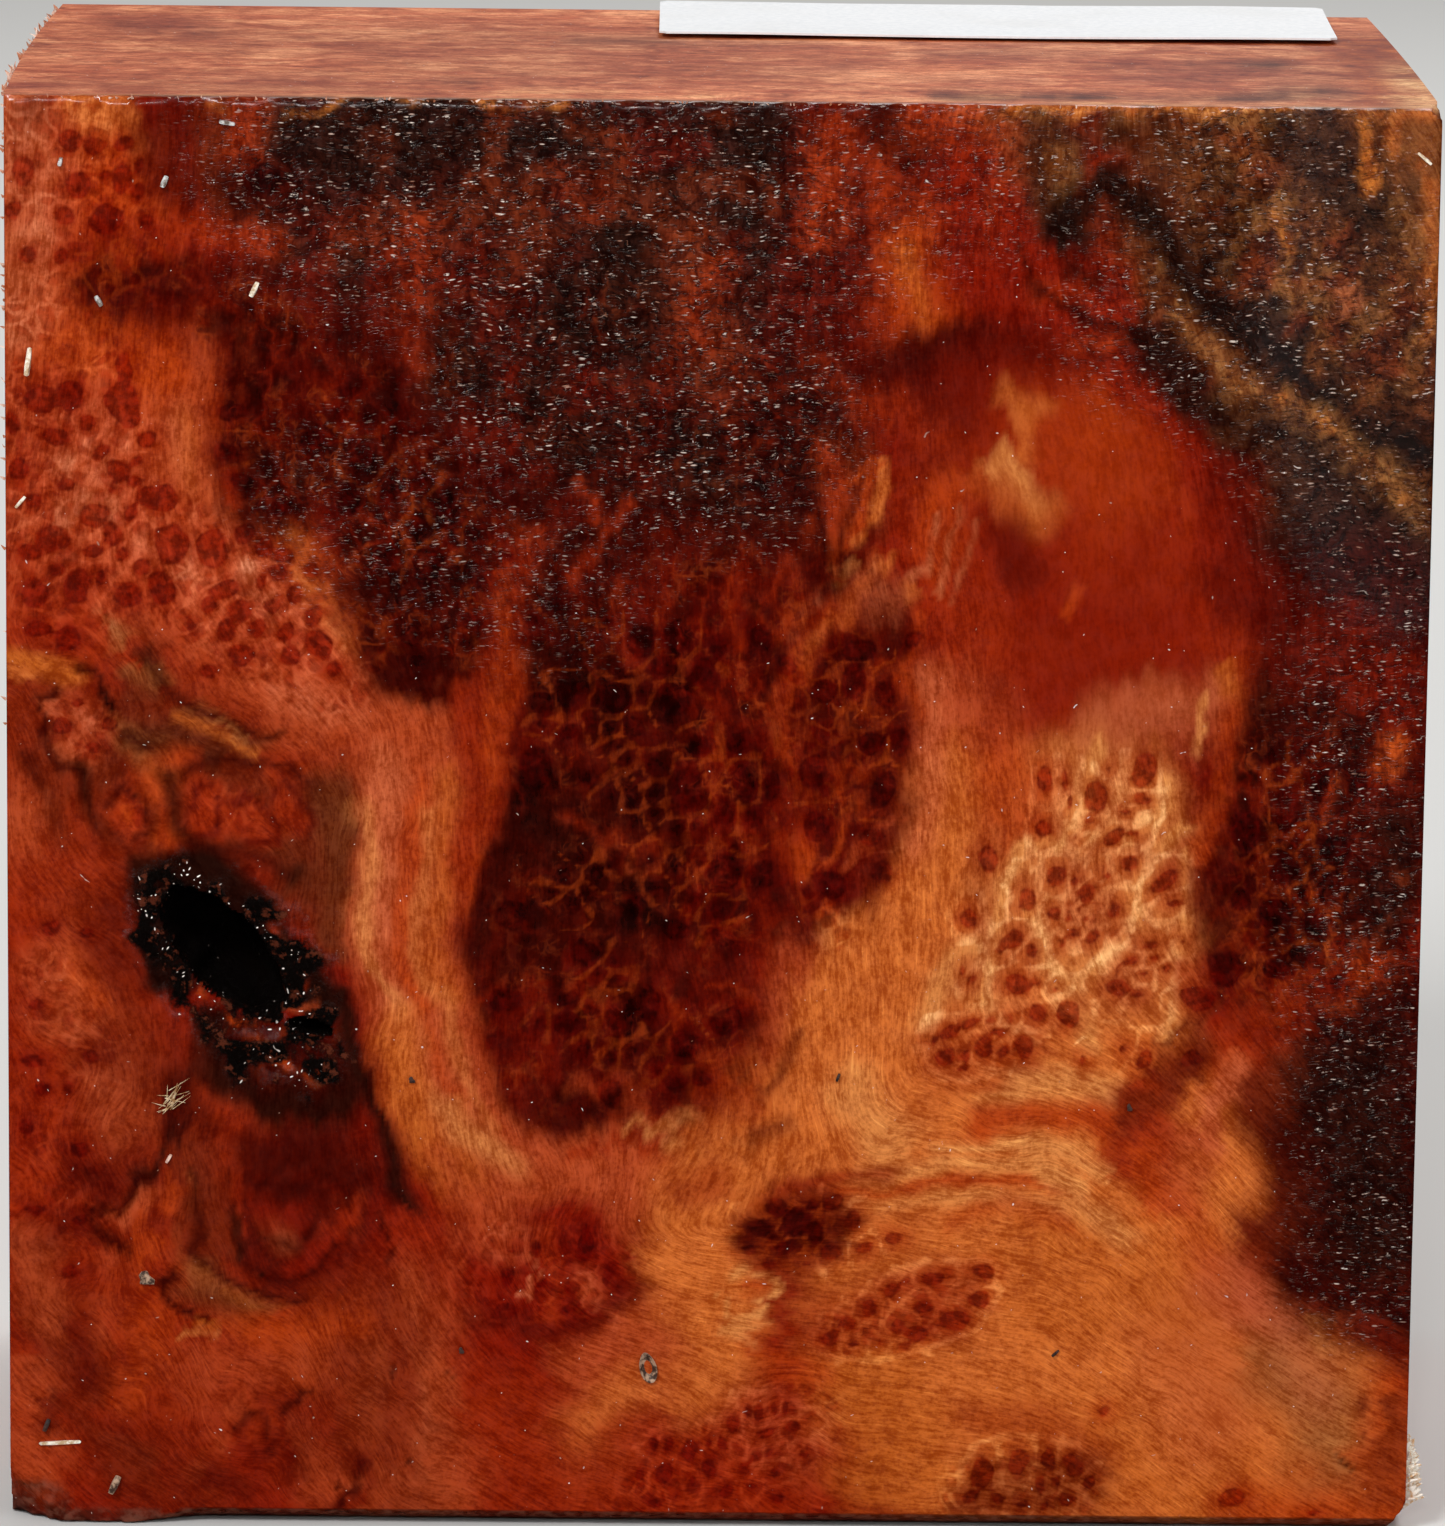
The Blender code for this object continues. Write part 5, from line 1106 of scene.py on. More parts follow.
# Colours of all six sides
# The wet front shows its figure, and the dry sides are dusty with fine sawdust. The front takes its
# stains. The top takes its own, placed by the distance from the left and the depth.
TOP_STAINS = [
    ("pale", 90, 5, 1, [(0, 40), (152, 40)]),
    ("salmon", 3, 5, 0.8, [(0, 12), (40, 14), (80, 10)], 9),
    ("salmon", 5, 6, 0.55, [(20, 44), (70, 40)], 12),
    ("dusty", 4, 5, 0.8, [(10, 28), (60, 30), (90, 26)], 12),
    ("brown", 2.5, 3, 0.6, [(30, 20), (60, 18), (86, 22)], 9),
    ("brown", 3, 4, 0.55, [(46, 54), (80, 58)], 12),
    ("ember", 6, 6, 0.75, [(0, 50), (14, 60), (10, 80)], 8),
    ("ember", 3, 3, 0.75, [(0, 6), (10, 12), (24, 24)], 6),
    ("orange", 3, 4, 0.6, [(34, 34), (64, 36), (90, 34)], 10),
    ("ember", 12, 8, 0.65, [(94, 26), (132, 30)], 14),
    ("red", 4, 5, 0.45, [(100, 22), (126, 24)], 8),
    ("red", 5, 5, 0.45, [(96, 48), (124, 50)], 10),
    ("salmon", 3, 4, 0.6, [(104, 40), (130, 42)], 8),
    ("brown", 2.5, 2, 0.75, [(98, 7), (140, 9)], 10),
    ("umber", 3.5, 3, 0.6, [(136, 40), (144, 24), (138, 12)], 7),
    ("wine", 4, 4, 0.6, [(132, 74), (150, 82)], 7),
    ("umber", 5, 4, 0.55, [(114, 9), (142, 12)], 12),
    ("gold", 6, 3, 1, [(150, 2), (151, 30), (149, 64)]),
    ("fuzz", 3.6, 2, 1, [(150, 1), (151.6, 20), (151.6, 40)]),
    ("fuzz", 2.6, 2, 1, [(112, 0.4), (152, 0.4)]),
    # Painted highlights: the pale line along the left of the front arris is frayed fibre, partly lightened as
    # a painted edge highlight, and the two patchy streaks after it are painted glints of the wet sheen on the
    # top
    ("fuzz", 1, 0.8, 0.8, [(0, 0.4), (112, 0.4)], 5),
    ("fuzz", 3, 2, 0.7, [(100, 9), (118, 10), (142, 12)], 3),
    ("fuzz", 2.4, 1.6, 0.5, [(50, 5), (74, 5)], 3),
]
along_grain = [at(field, across, up) for field in (flow[1], -flow[0])]
smear = 1.3 * lumps(grain * 1.1, across * 0.10, up * 0.10, 1.0, 56)
smear += 1.0 * lumps(grain * 0.4, across * 0.05, up * 0.05, 1.0, 57)
smear = smear * on_front * (1 - 0.75 * zone(SAWN))
colour = stained(across + along_grain[0] * smear, up + along_grain[1] * smear, STAINS)
top_colour = stained(across, deep, TOP_STAINS)
swayed = [c + 7 * lumps(across, deep, up, 26, 58 + axis) for axis, c in enumerate((across, deep, up))]
patch = ramp(lumps(*swayed, 30, 51), -0.5, 0.5)[..., None]
dry = linear(TINTS["dry"]) * (1 - patch) + linear(TINTS["dusty"]) * patch
reddish = ramp(lumps(*swayed, 38, 53), -0.1, 0.6)[..., None]
dry = dry * (1 - 0.5 * reddish) + linear(TINTS["red"]) * 0.5 * reddish
top_side = (on_top & ~on_front)[..., None]
other = np.where(top_side, top_colour, dry)
leave = (ramp(deep, 0.3, 14 + 5 * lumps(across, deep, up, 6, 55)) * ~on_front)[..., None]
leave = np.where(top_side, ramp(deep, 0.0, 2.5)[..., None], leave)
colour = colour * (1 - leave) + other * leave

# More zones of the front, written as the sawn ones: the dark lace with its net of veins, the calm wood
# without fibres, the wood whose eyes have pale walls, and the crowds of small eyes
NET = [
    (15, 4, 0.45, [(64, 98), (66, 70)]), (7, 4, 1, [(76, 101), (78, 70)]),
    (9, 4, 0.7, [(60, 56), (74, 52)]), (10, 4, 0.9, [(32, 123), (45, 105)]),
    (5, 3, 0.8, [(12, 136), (26, 132)]), (7, 4, 0.9, [(136, 84), (138, 62)]),
    (8, 4, 0.8, [(88, 100), (88, 84)]), (5, 3, 0.7, [(84, 34)]), (10, 6, 0.35, [(50, 130), (80, 122)]),
]
CALM = [
    (12, 6, 1, [(112, 118), (118, 98)]), (5, 4, 0.7, [(128, 26), (132, 16)]), (6, 4, 0.6, [(30, 38)]),
]
WALLED = [
    (11, 2.5, 1, [(116, 80), (115, 62)]), (6, 2, 1, [(102, 55), (110, 57)]),
    (9, 3, 1, [(6, 124), (10, 106)]), (7, 2.5, 1, [(20, 106), (34, 97)]),
    (7, 2, 1, [(88, 34), (92, 24), (104, 26)]), (3, 2, 1, [(103, 68)]),
    (7, 2, 1, [(70, 7), (84, 10)]), (7, 2, 1, [(106, 5), (116, 6)]), (8, 3, 0.7, [(5, 150), (12, 142)]),
    (9, 3, 1, [(92, 96), (90, 70)]), (16, 3, 0.7, [(66, 96), (68, 66)]),
    (8, 3, 0.8, [(136, 82), (136, 64)]), (7, 2, 0.8, [(56, 29), (62, 28)]), (6, 3, 0.6, [(74, 55)]),
    (6, 3, 0.5, [(6, 88), (8, 88)]), (8, 3, 0.6, [(30, 118), (44, 108)]),
]
LACE = [
    (8, 2.5, 1, [(5, 128), (7, 104)]), (6.5, 2.5, 1, [(18, 107), (27, 100), (34, 96)]),
    (7, 3, 0.9, [(4, 152), (10, 140)]), (3.4, 1.2, 1, [(81, 34), (88, 33)]),
    (3, 1.2, 1, [(90, 22), (102, 26.5)]), (4.5, 1.6, 1, [(70, 4), (80, 9), (86, 12)]),
    (4, 1.4, 0.9, [(105, 4), (115, 5)]), (6.5, 2, 0.8, [(54, 28), (62, 28)]),
    (3, 1.5, 0.9, [(88, 67), (88, 72)]), (5, 2, 0.8, [(8, 88)]), (3, 1.5, 0.7, [(13, 79)]),
    (3.5, 1.5, 0.7, [(25, 79.5)]), (5, 3, 0.6, [(5, 42), (8, 34)]), (5, 3, 0.6, [(4, 60), (9, 52)]),
    (4, 2, 0.7, [(135, 76), (136, 62)]), (5, 2, 0.8, [(88, 96), (88, 84)]),
]
sawn = zone(SAWN)
lace = zone(LACE)
net = zone(NET)
calm = zone(CALM)
walled = zone(WALLED)
bark = np.clip(ramp(1.25 - rim, 0.0, 0.5) * (0.7 + 0.6 * lumps(across, up, 9, 2.0, 61)), 0, 1)
# Painted shade: the hollow and the slot are counted as bark, so they are painted black as the shade deep in
# them
bark = np.where(np.maximum(hollow, cleft) > 0.4, 1, bark)
# Where the painted glint specks crowd: a ring round the edge of the hole and a patch under the slot
rim_glints = ramp(np.abs(pit - 1.16), 0.42, 0.14) * ramp(hollow, 1.6, 0.6)
rim_glints = np.maximum(rim_glints, 0.7 * ramp(away(across, up, [(28, 54), (32, 51)]), 4.0, 1.5))
film = ramp(away(across, up, [(0, 0), (3.0, 1.0)]), 4.2, 3.0)
film = np.maximum(film, ramp(away(across, up, [(3, 0), (15, 0)]), 2.0, 1.0))
wax = np.maximum(film * np.clip(0.85 + 0.5 * lumps(across, up, 8, 2, 62), 0, 1), in_ease * 0.9)
front = np.where(on_front, 1.0, ramp(deep, 3.0, 0.0) * 0.8)


def keep(piece, name, values):
    """Stores one number or three for each point of the piece, for its material to read."""
    if values.ndim == 1:
        layer = piece.data.attributes.new(name, "FLOAT", "POINT")
        layer.data.foreach_set("value", values)
    else:
        layer = piece.data.attributes.new(name, "FLOAT_COLOR", "POINT")
        layer.data.foreach_set("color", np.c_[values, np.ones(len(values))].ravel())


keep(block, "figure", colour)
keep(block, "grain", grain)
keep(block, "eye", eye_edge)
keep(block, "wall", wall_gap)
keep(block, "areas", np.stack([calm * on_front, walled * on_front, rim_glints * on_front], axis=1))
keep(block, "lace", lace * on_front)
keep(block, "zones", np.stack([sawn * on_front, net * on_front, torn_zone * on_front], axis=1))
keep(block, "faces", np.stack([front, bark * on_front, np.clip(wax, 0, 1)], axis=1))


class Finish:
    """A node material, built up one step at a time."""

    def __init__(self, name):
        self.material = bpy.data.materials.new(name)
        self.material.use_nodes = True
        self.tree = self.material.node_tree
        self.shader = self.tree.nodes["Principled BSDF"]
        place = self.add("ShaderNodeTexCoord").outputs["Object"]
        self.mm = self.vector("MULTIPLY", place, (1000, 1000, 1000))

    def add(self, kind, sockets=None, **settings):
        step = self.tree.nodes.new(kind)
        for key, value in settings.items():
            setattr(step, key, value)
        for key, value in (sockets or {}).items():
            self.put(step.inputs[key], value)
        return step

    def put(self, socket, value):
        if isinstance(value, bpy.types.NodeSocket):
            self.tree.links.new(value, socket)
        else:
            socket.default_value = value

    def calc(self, operation, *values):
        return self.add("ShaderNodeMath", dict(enumerate(values)), operation=operation).outputs[0]

    def times(self, first, *others):
        for other in others:
            first = self.calc("MULTIPLY", first, other)
        return first

    def plus(self, one, two):
        return self.calc("ADD", one, two)

    def less(self, one, two):
        return self.calc("SUBTRACT", one, two)

    def larger(self, one, two):
        return self.calc("MAXIMUM", one, two)

    def vector(self, operation, *values):
        return self.add("ShaderNodeVectorMath", dict(enumerate(values)), operation=operation).outputs[0]

    def fit(self, value, low, high, new_low=0.0, new_high=1.0):
        """Fits the values between low and high smoothly to a new range."""
        sockets = {0: value, 1: low, 2: high, 3: new_low, 4: new_high}
        return self.add("ShaderNodeMapRange", sockets, interpolation_type="SMOOTHSTEP").outputs[0]

    def mix(self, share, one, two, blend="MIX"):
        sockets = {0: share, 6: one, 7: two}
        return self.add("ShaderNodeMix", sockets, data_type="RGBA", blend_type=blend).outputs[2]

    def tinted(self, colour, tint):
        return self.mix(1.0, colour, tint, "MULTIPLY")

    def dyed(self, share, colour, tint):
        """Tints a colour where the share is 1, and leaves it alone where the share is 0."""
        return self.mix(share, colour, self.tinted(colour, tint))

    def noise(self, place, scale, detail=3.0, roughness=0.5, distortion=0.0):
        sockets = {"Vector": place, "Scale": scale, "Detail": detail, "Roughness": roughness}
        sockets["Distortion"] = distortion
        return self.add("ShaderNodeTexNoise", sockets).outputs["Fac"]

    def drift(self, scale, detail, reach):
        """An offset that wanders by up to half the reach, in mm, each way."""
        sockets = {"Vector": self.mm, "Scale": scale, "Detail": detail}
        wander = self.add("ShaderNodeTexNoise", sockets).outputs["Color"]
        centred = self.vector("SUBTRACT", wander, (0.5, 0.5, 0.5))
        return self.add("ShaderNodeVectorMath", {0: centred, "Scale": reach}, operation="SCALE").outputs[0]

    def cells(self, place, scale, feature="F1"):
        sockets = {"Vector": place, "Scale": scale}
        return self.add("ShaderNodeTexVoronoi", sockets, feature=feature).outputs["Distance"]

    def read(self, name):
        return self.add("ShaderNodeAttribute", attribute_name=name)

    def split(self, vector):
        return self.add("ShaderNodeSeparateXYZ", {0: vector}).outputs

    def join(self, x, y, z):
        return self.add("ShaderNodeCombineXYZ", {0: x, 1: y, 2: z}).outputs[0]


oiled = Finish("oiled lace burl")
fit, mix, dyed, tinted = oiled.fit, oiled.mix, oiled.dyed, oiled.tinted
times, plus, less, larger = oiled.times, oiled.plus, oiled.less, oiled.larger
noise, cells, vector = oiled.noise, oiled.cells, oiled.vector
figure = oiled.read("figure").outputs["Color"]
grain_line = oiled.read("grain").outputs["Fac"]
eye = oiled.read("eye").outputs["Fac"]
wall_gap = oiled.read("wall").outputs["Fac"]
lace_share = oiled.read("lace").outputs["Fac"]
sawn_share, net_share, torn_share = oiled.split(oiled.read("zones").outputs["Vector"])
front_share, bark_and_hollow_share, wax_share = oiled.split(oiled.read("faces").outputs["Vector"])
calm_share, walled_share, rim_glint_share = oiled.split(oiled.read("areas").outputs["Vector"])
x, y, z = oiled.split(oiled.mm)


def along_grain_noise(across_scale, along_scale, detail, roughness):
    """Noise that is drawn out along the grain lines."""
    place = oiled.join(times(grain_line, across_scale), times(x, along_scale), times(z, along_scale))
    return noise(place, 1.0, detail, roughness)


# Short specks, fibres of four widths and a slow mottling under them
specks = noise(oiled.mm, 3.0, 2.0, 0.6)
strands = along_grain_noise(2.8, 0.75, 2.0, 0.6)
hairs = along_grain_noise(3.6, 0.24, 2.0, 0.6)
fine = along_grain_noise(1.6, 0.16, 3.0, 0.6)
broad = along_grain_noise(0.6, 0.10, 3.0, 0.55)
mottle = noise(oiled.mm, 0.30, 6.0, 0.62)
warped = vector("ADD", oiled.mm, oiled.drift(0.30, 1.5, 4.5))

# The dark lace: near-black cells of two sizes, parted by thin red and orange veins that come and go
upright = vector("MULTIPLY", vector("ADD", warped, oiled.drift(0.8, 1.0, 1.8)), (1.0, 0.35, 0.72))
thick = noise(oiled.mm, 0.16, 3.0)
base = dyed(net_share, figure, (0.58, 0.34, 0.30, 1))
edge = cells(upright, 0.36, "DISTANCE_TO_EDGE")
glow = oiled.calc("POWER", fit(edge, 0.0, 0.40, 1.0, 0.0), 1.3)
glow = times(glow, net_share, fit(thick, 0.32, 0.62, 0.3, 1.0))
base = mix(times(glow, 0.55), base, (0.115, 0.0050, 0.0006, 1))
veins = oiled.calc("DIVIDE", edge, fit(thick, 0.38, 0.66, 0.05, 0.20))
veins = times(fit(veins, 0.0, 1.0, 1.0, 0.0), fit(thick, 0.42, 0.60))
fine_edge = cells(upright, 0.85, "DISTANCE_TO_EDGE")
fine_veins = times(fit(fine_edge, 0.0, 0.22, 1.0, 0.0), fit(mottle, 0.44, 0.60))
veins = larger(veins, times(fine_veins, 0.55))
veins = times(veins, net_share)
vein_tint = mix(fit(mottle, 0.48, 0.66), (0.15, 0.006, 0.0006, 1), (0.32, 0.036, 0.0040, 1))
base = mix(times(veins, 0.52), base, vein_tint)
pupil = times(fit(cells(upright, 0.36), 0.10, 0.46, 1.0, 0.0), net_share)
base = mix(times(pupil, 0.55), base, (0.016, 0.0016, 0.0006, 1))

# Lace is a crowd of small eyes, parted by paler walls
crowd_edge = cells(warped, 0.42, "DISTANCE_TO_EDGE")
crowd_heart = cells(warped, 0.42)
crowd = times(fit(crowd_edge, 0.05, 0.20), fit(crowd_heart, 0.38, 0.62, 1.0, 0.0),
              fit(lace_share, 0.3, 0.7, 0.0, 0.5))
crowd_wall = times(lace_share, fit(crowd_edge, 0.02, 0.18, 1.0, 0.0))

# Eyes: a dark red heart in an orange halo, and a pale wall where two halos meet
inside = larger(fit(eye, -0.24, 0.24, 1.0, 0.0), crowd)
halo = fit(eye, 0.0, 2.0, 1.0, 0.0)
base = dyed(times(halo, 0.75), base, (0.78, 0.50, 0.38, 1))
wall = times(fit(wall_gap, 0.12, 0.80, 1.0, 0.0), walled_share)
wall = larger(wall, times(crowd_wall, 0.5))
wall = times(wall, less(1.0, inside), fit(mottle, 0.38, 0.56, 0.55, 1.0))
bright = tinted(base, (1.62, 2.5, 3.9, 1))
bright = mix(fit(net_share, 0.1, 0.5), bright, (0.25, 0.026, 0.0022, 1))
base = mix(times(wall, 0.72), base, bright)
eye_rim = fit(oiled.calc("ABSOLUTE", plus(eye, 0.14)), 0.06, 0.34, 1.0, 0.0)
cloudy = fit(noise(oiled.mm, 0.9, 3.0), 0.35, 0.65)
heart = mix(cloudy, (0.36, 0.14, 0.11, 1), (0.82, 0.40, 0.34, 1))
heart = mix(times(eye_rim, 0.08), heart, (0.26, 0.075, 0.05, 1))
base = dyed(times(inside, front_share, 0.92), base, heart)

# The fibres show over all of it
tone = times(specks, 0.16)
for layer, weight in ((strands, 0.26), (hairs, 0.12), (fine, 0.12), (broad, 0.14), (mottle, 0.22)):
    tone = plus(tone, times(layer, weight))
shade = mix(fit(tone, 0.41, 0.60), (0.62, 0.42, 0.26, 1), (1.25, 1.36, 1.40, 1))
shade = mix(times(calm_share, 0.50), shade, (0.94, 0.84, 0.74, 1))
base = tinted(base, shade)
# Pale fibres, lightened partly as a painted highlight that runs along them
pale_fibres_and_highlight = times(fit(hairs, 0.56, 0.70), fit(mottle, 0.46, 0.58), less(1.0, calm_share))
base = dyed(times(pale_fibres_and_highlight, 0.40), base, (1.45, 1.9, 2.1, 1))

# Sawn rows: torn wood is blotched black and red, with rippled ridges. A painted highlight lies along the wet
# ridges, painted glints dot the rows, and a painted shadow line runs under each ridge.
blotch = noise(vector("MULTIPLY", warped, (0.55, 0.5, 0.75)), 1.0, 5.0, 0.7)
blotch = mix(fit(blotch, 0.38, 0.62), (0.30, 0.28, 0.28, 1), (1.45, 2.10, 2.30, 1))
base = dyed(times(sawn_share, 0.85), base, blotch)


def ripple(place):
    """Thin wavy lines that run across the face."""
    rows = noise(vector("MULTIPLY", place, (0.42, 0.5, 2.2)), 1.0, 1.0, 0.5)
    return oiled.calc("ABSOLUTE", less(rows, 0.5))


rowed = oiled.add("ShaderNodeMix", {0: 0.25, 4: oiled.mm, 5: warped}, data_type="VECTOR").outputs[1]
broken = noise(oiled.mm, 1.1, 3.0, 0.6)
# Where the sawn rows are wet; this places their painted glints
wet = times(sawn_share, fit(thick, 0.36, 0.58, 0.35, 1.0))
# Painted shadow: a dark line is painted into the colour just under each ridge, where the groove is also
# dented into the relief
groove_and_shadow = fit(ripple(vector("ADD", rowed, (0.0, 0.0, 0.25))), 0.0, 0.06, 1.0, 0.0)
groove_and_shadow = times(groove_and_shadow, sawn_share, fit(broken, 0.44, 0.54))
base = mix(times(groove_and_shadow, 0.75), base, (0.007, 0.002, 0.001, 1))
# Painted highlight: the ridges are raised in the relief and also painted pale into the colour
ridge_and_highlight = fit(ripple(rowed), 0.003, 0.022, 1.0, 0.0)
ridge_and_highlight = times(ridge_and_highlight, wet, fit(broken, 0.54, 0.62))
# Painted glints: pale dashes in wavy rows are painted into the colour where the sawn rows are wet, together
# with the pale ridges
row_glint_place = vector("MULTIPLY", rowed, (0.72, 1.0, 3.0))
row_glint_cells = oiled.add("ShaderNodeTexVoronoi", {"Vector": row_glint_place, "Scale": 1.0})
chance, shine, _ = oiled.split(row_glint_cells.outputs["Color"])
row_glints = times(fit(row_glint_cells.outputs["Distance"], 0.14, 0.32, 1.0, 0.0), fit(chance, 0.34, 0.44),
              fit(specks, 0.36, 0.50))
rows = noise(vector("MULTIPLY", rowed, (0.16, 0.5, 1.25)), 1.0, 2.0, 0.5)
row_glints = times(row_glints, fit(rows, 0.46, 0.53, 0.15, 1.0))
row_glints = larger(times(row_glints, wet), times(ridge_and_highlight, 0.8))
row_glint_tint = mix(fit(shine, 0.2, 0.9), (0.30, 0.12, 0.07, 1), (1.0, 0.86, 0.76, 1))
base = mix(times(row_glints, 0.9), base, row_glint_tint)

# Bark is black, with torn pink wood left on the rim. The inside of the pit and its slot are painted black as
# well, as painted shade, and the torn wood fades out from 1.1 to 2.5 mm deep.
chips = noise(oiled.mm, 0.7, 5.0, 0.65)
splinters = times(fit(chips, 0.54, 0.64), fit(y, -43.4, -42.0, 1.0, 0.0))
black = mix(splinters, (0.0030, 0.0014, 0.0010, 1), (0.095, 0.020, 0.009, 1))
torn_bark_and_hollow = plus(bark_and_hollow_share, times(less(chips, 0.5), 1.1))
base = mix(fit(torn_bark_and_hollow, 0.34, 0.62), base, black)
wax_cloud = fit(noise(oiled.mm, 0.8, 4.0), 0.4, 0.65)
wax_tone = mix(wax_cloud, (0.018, 0.008, 0.005, 1), (0.13, 0.060, 0.038, 1))
base = mix(times(wax_share, 0.72), base, wax_tone)

# Dry faces: dusty, with the saw's fine lines
saw_lines = noise(vector("MULTIPLY", oiled.mm, (0.35, 1.6, 3.2)), 1.0, 4.0, 0.65)
dust = mix(fit(saw_lines, 0.35, 0.65), (0.84, 0.78, 0.74, 1), (1.13, 1.16, 1.18, 1))
dry_base = tinted(base, dust)
streaks = noise(vector("MULTIPLY", warped, (0.045, 0.26, 0.26)), 1.0, 4.0, 0.6)
streaks = mix(fit(streaks, 0.38, 0.62), (0.82, 0.60, 0.52, 1), (1.10, 1.15, 1.15, 1))
dry_base = tinted(dry_base, streaks)
blots = noise(oiled.mm, 0.075, 5.0, 0.62, 0.9)
blots = mix(fit(blots, 0.42, 0.60), (0.80, 0.60, 0.50, 1), (1.08, 1.10, 1.10, 1))
dry_base = tinted(dry_base, blots)
herds = fit(noise(oiled.mm, 0.045, 3.0), 0.48, 0.60)
dry_eyes = times(fit(cells(warped, 0.34), 0.16, 0.46, 1.0, 0.0), herds)
dry_base = dyed(times(dry_eyes, 0.55), dry_base, (0.50, 0.30, 0.24, 1))
saw_marks = noise(vector("MULTIPLY", oiled.mm, (0.02, 0.02, 0.9)), 1.0, 2.0, 0.5)
saw_marks = mix(fit(saw_marks, 0.35, 0.65), (0.86, 0.84, 0.82, 1), (1.1, 1.1, 1.1, 1))
dry_base = tinted(dry_base, saw_marks)
base = mix(front_share, dry_base, base)

# Painted glints: tiny pale specks are painted into the colour all over as the shine of small drops of water
# and oil, most of them round the bark and more on the top.
glint_speck_place = vector("MULTIPLY", warped, (1.5, 1.1, 1.7))
glint_speck_cells = oiled.add("ShaderNodeTexVoronoi", {"Vector": glint_speck_place, "Scale": 1.0})
lucky, strong, _ = oiled.split(glint_speck_cells.outputs["Color"])
few = fit(mottle, 0.40, 0.62, 0.985, 0.93)
few = less(few, times(rim_glint_share, 0.34))
top_share = times(fit(z, 155.3, 155.9), less(1.0, front_share))
few = less(few, times(top_share, 0.10))
reach = less(glint_speck_cells.outputs["Distance"], times(rim_glint_share, 0.07))
glint_specks = times(fit(reach, 0.07, 0.19, 1.0, 0.0), oiled.calc("GREATER_THAN", lucky, few))
glint_specks = times(glint_specks, fit(rim_glint_share, 0.0, 0.6, 0.75, 1.0))
glint_speck_tint = mix(larger(strong, rim_glint_share), (0.30, 0.13, 0.08, 1), (1.0, 0.90, 0.84, 1))
base = mix(glint_specks, base, glint_speck_tint)
oiled.put(oiled.shader.inputs["Base Color"], base)

# Wet gloss on the front, dull elsewhere
gloss = fit(noise(oiled.mm, 0.6, 4.0), 0.3, 0.7, 0.10, 0.20)
gloss = plus(gloss, times(sawn_share, 0.05))
gloss = plus(gloss, times(bark_and_hollow_share, 0.12))
rough_share = oiled.add("ShaderNodeMix", {0: front_share, 2: 0.62, 3: gloss}).outputs[0]
oiled.put(oiled.shader.inputs["Roughness"], rough_share)
oiled.shader.inputs["IOR"].default_value = 1.32

# Relief in millimetres
relief = times(specks, 0.006)
relief = less(relief, times(groove_and_shadow, 0.06))
relief = plus(relief, times(ridge_and_highlight, 0.05))
torn_relief = noise(vector("MULTIPLY", oiled.mm, (1.6, 1.0, 2.6)), 1.0, 4.0, 0.7)
relief = plus(relief, times(torn_relief, torn_share, 0.45))
bark_relief = noise(oiled.mm, 2.2, 4.0, 0.7)
relief = plus(relief, times(bark_relief, bark_and_hollow_share, 0.75))
dry_relief = times(saw_lines, less(1.0, front_share))
relief = plus(relief, times(dry_relief, 0.16))
bump = oiled.add("ShaderNodeBump", {"Height": relief, "Strength": 1.0, "Distance": 0.001})
oiled.put(oiled.shader.inputs["Normal"], bump.outputs["Normal"])

# Bark shines less than oiled wood, so the cells that it covers have a copy of the material
rotten = oiled.material.copy()
rotten.name = "rotten bark"
rotten.node_tree.nodes["Principled BSDF"].inputs["IOR"].default_value = 1.13
block.data.materials.clear()
block.data.materials.append(oiled.material)
block.data.materials.append(rotten)
corners = np.zeros(len(block.data.loops), dtype=int)
block.data.loops.foreach_get("vertex_index", corners)
starts = np.zeros(len(block.data.polygons), dtype=int)
block.data.polygons.foreach_get("loop_start", starts)
blackened = (colour.max(axis=1) < 0.045) & (rim < 1.7)
barked = np.add.reduceat((np.maximum(bark, 0.6 * blackened) * on_front)[corners], starts) > 1.4
block.data.polygons.foreach_set("material_index", barked.astype(int))
bpy.ops.object.select_all(action="DESELECT")
block.select_set(True)
bpy.context.view_layer.objects.active = block
bpy.ops.object.shade_smooth_by_angle(angle=math.radians(38))
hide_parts("burl_block")
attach(block, "root")

# The label
# A strip of plain white paper, stuck on the top side near its rear edge. The damp wood has cockled it, so
# it lies in low waves, and its rear edge lifts a little.
LABEL_LENGTH = 76.2
LABEL_WIDTH = 25.4
LABEL_THICKNESS = 0.22
LABEL_LEFT = 69.0
LABEL_FRONT = 60.0
LABEL_LIFT = 0.35
REAR_LIFT = 0.7
CORNER_NIP = 0.5
LABEL_CELLS = (96, 32)

bpy.ops.object.select_all(action="DESELECT")
bpy.ops.mesh.primitive_grid_add(x_subdivisions=LABEL_CELLS[0], y_subdivisions=LABEL_CELLS[1], size=1)
label = bpy.context.object
label.name = "blank_label"
label.scale = (LABEL_LENGTH * MM, LABEL_WIDTH * MM, 1)
label_x = LEFT + LABEL_LEFT + LABEL_LENGTH / 2
label_y = FRONT + LABEL_FRONT + LABEL_WIDTH / 2
label.location = (label_x * MM, label_y * MM, 0)
bpy.ops.object.transform_apply(location=True, rotation=True, scale=True)
sheet = points_of(label)
share_along = (sheet[:, 0] - LEFT - LABEL_LEFT) / LABEL_LENGTH
share_deep = (sheet[:, 1] - FRONT - LABEL_FRONT) / LABEL_WIDTH
cockle = 0.11 * (1 + np.sin(7.2 * share_along + 1.1 + 0.8 * share_deep))
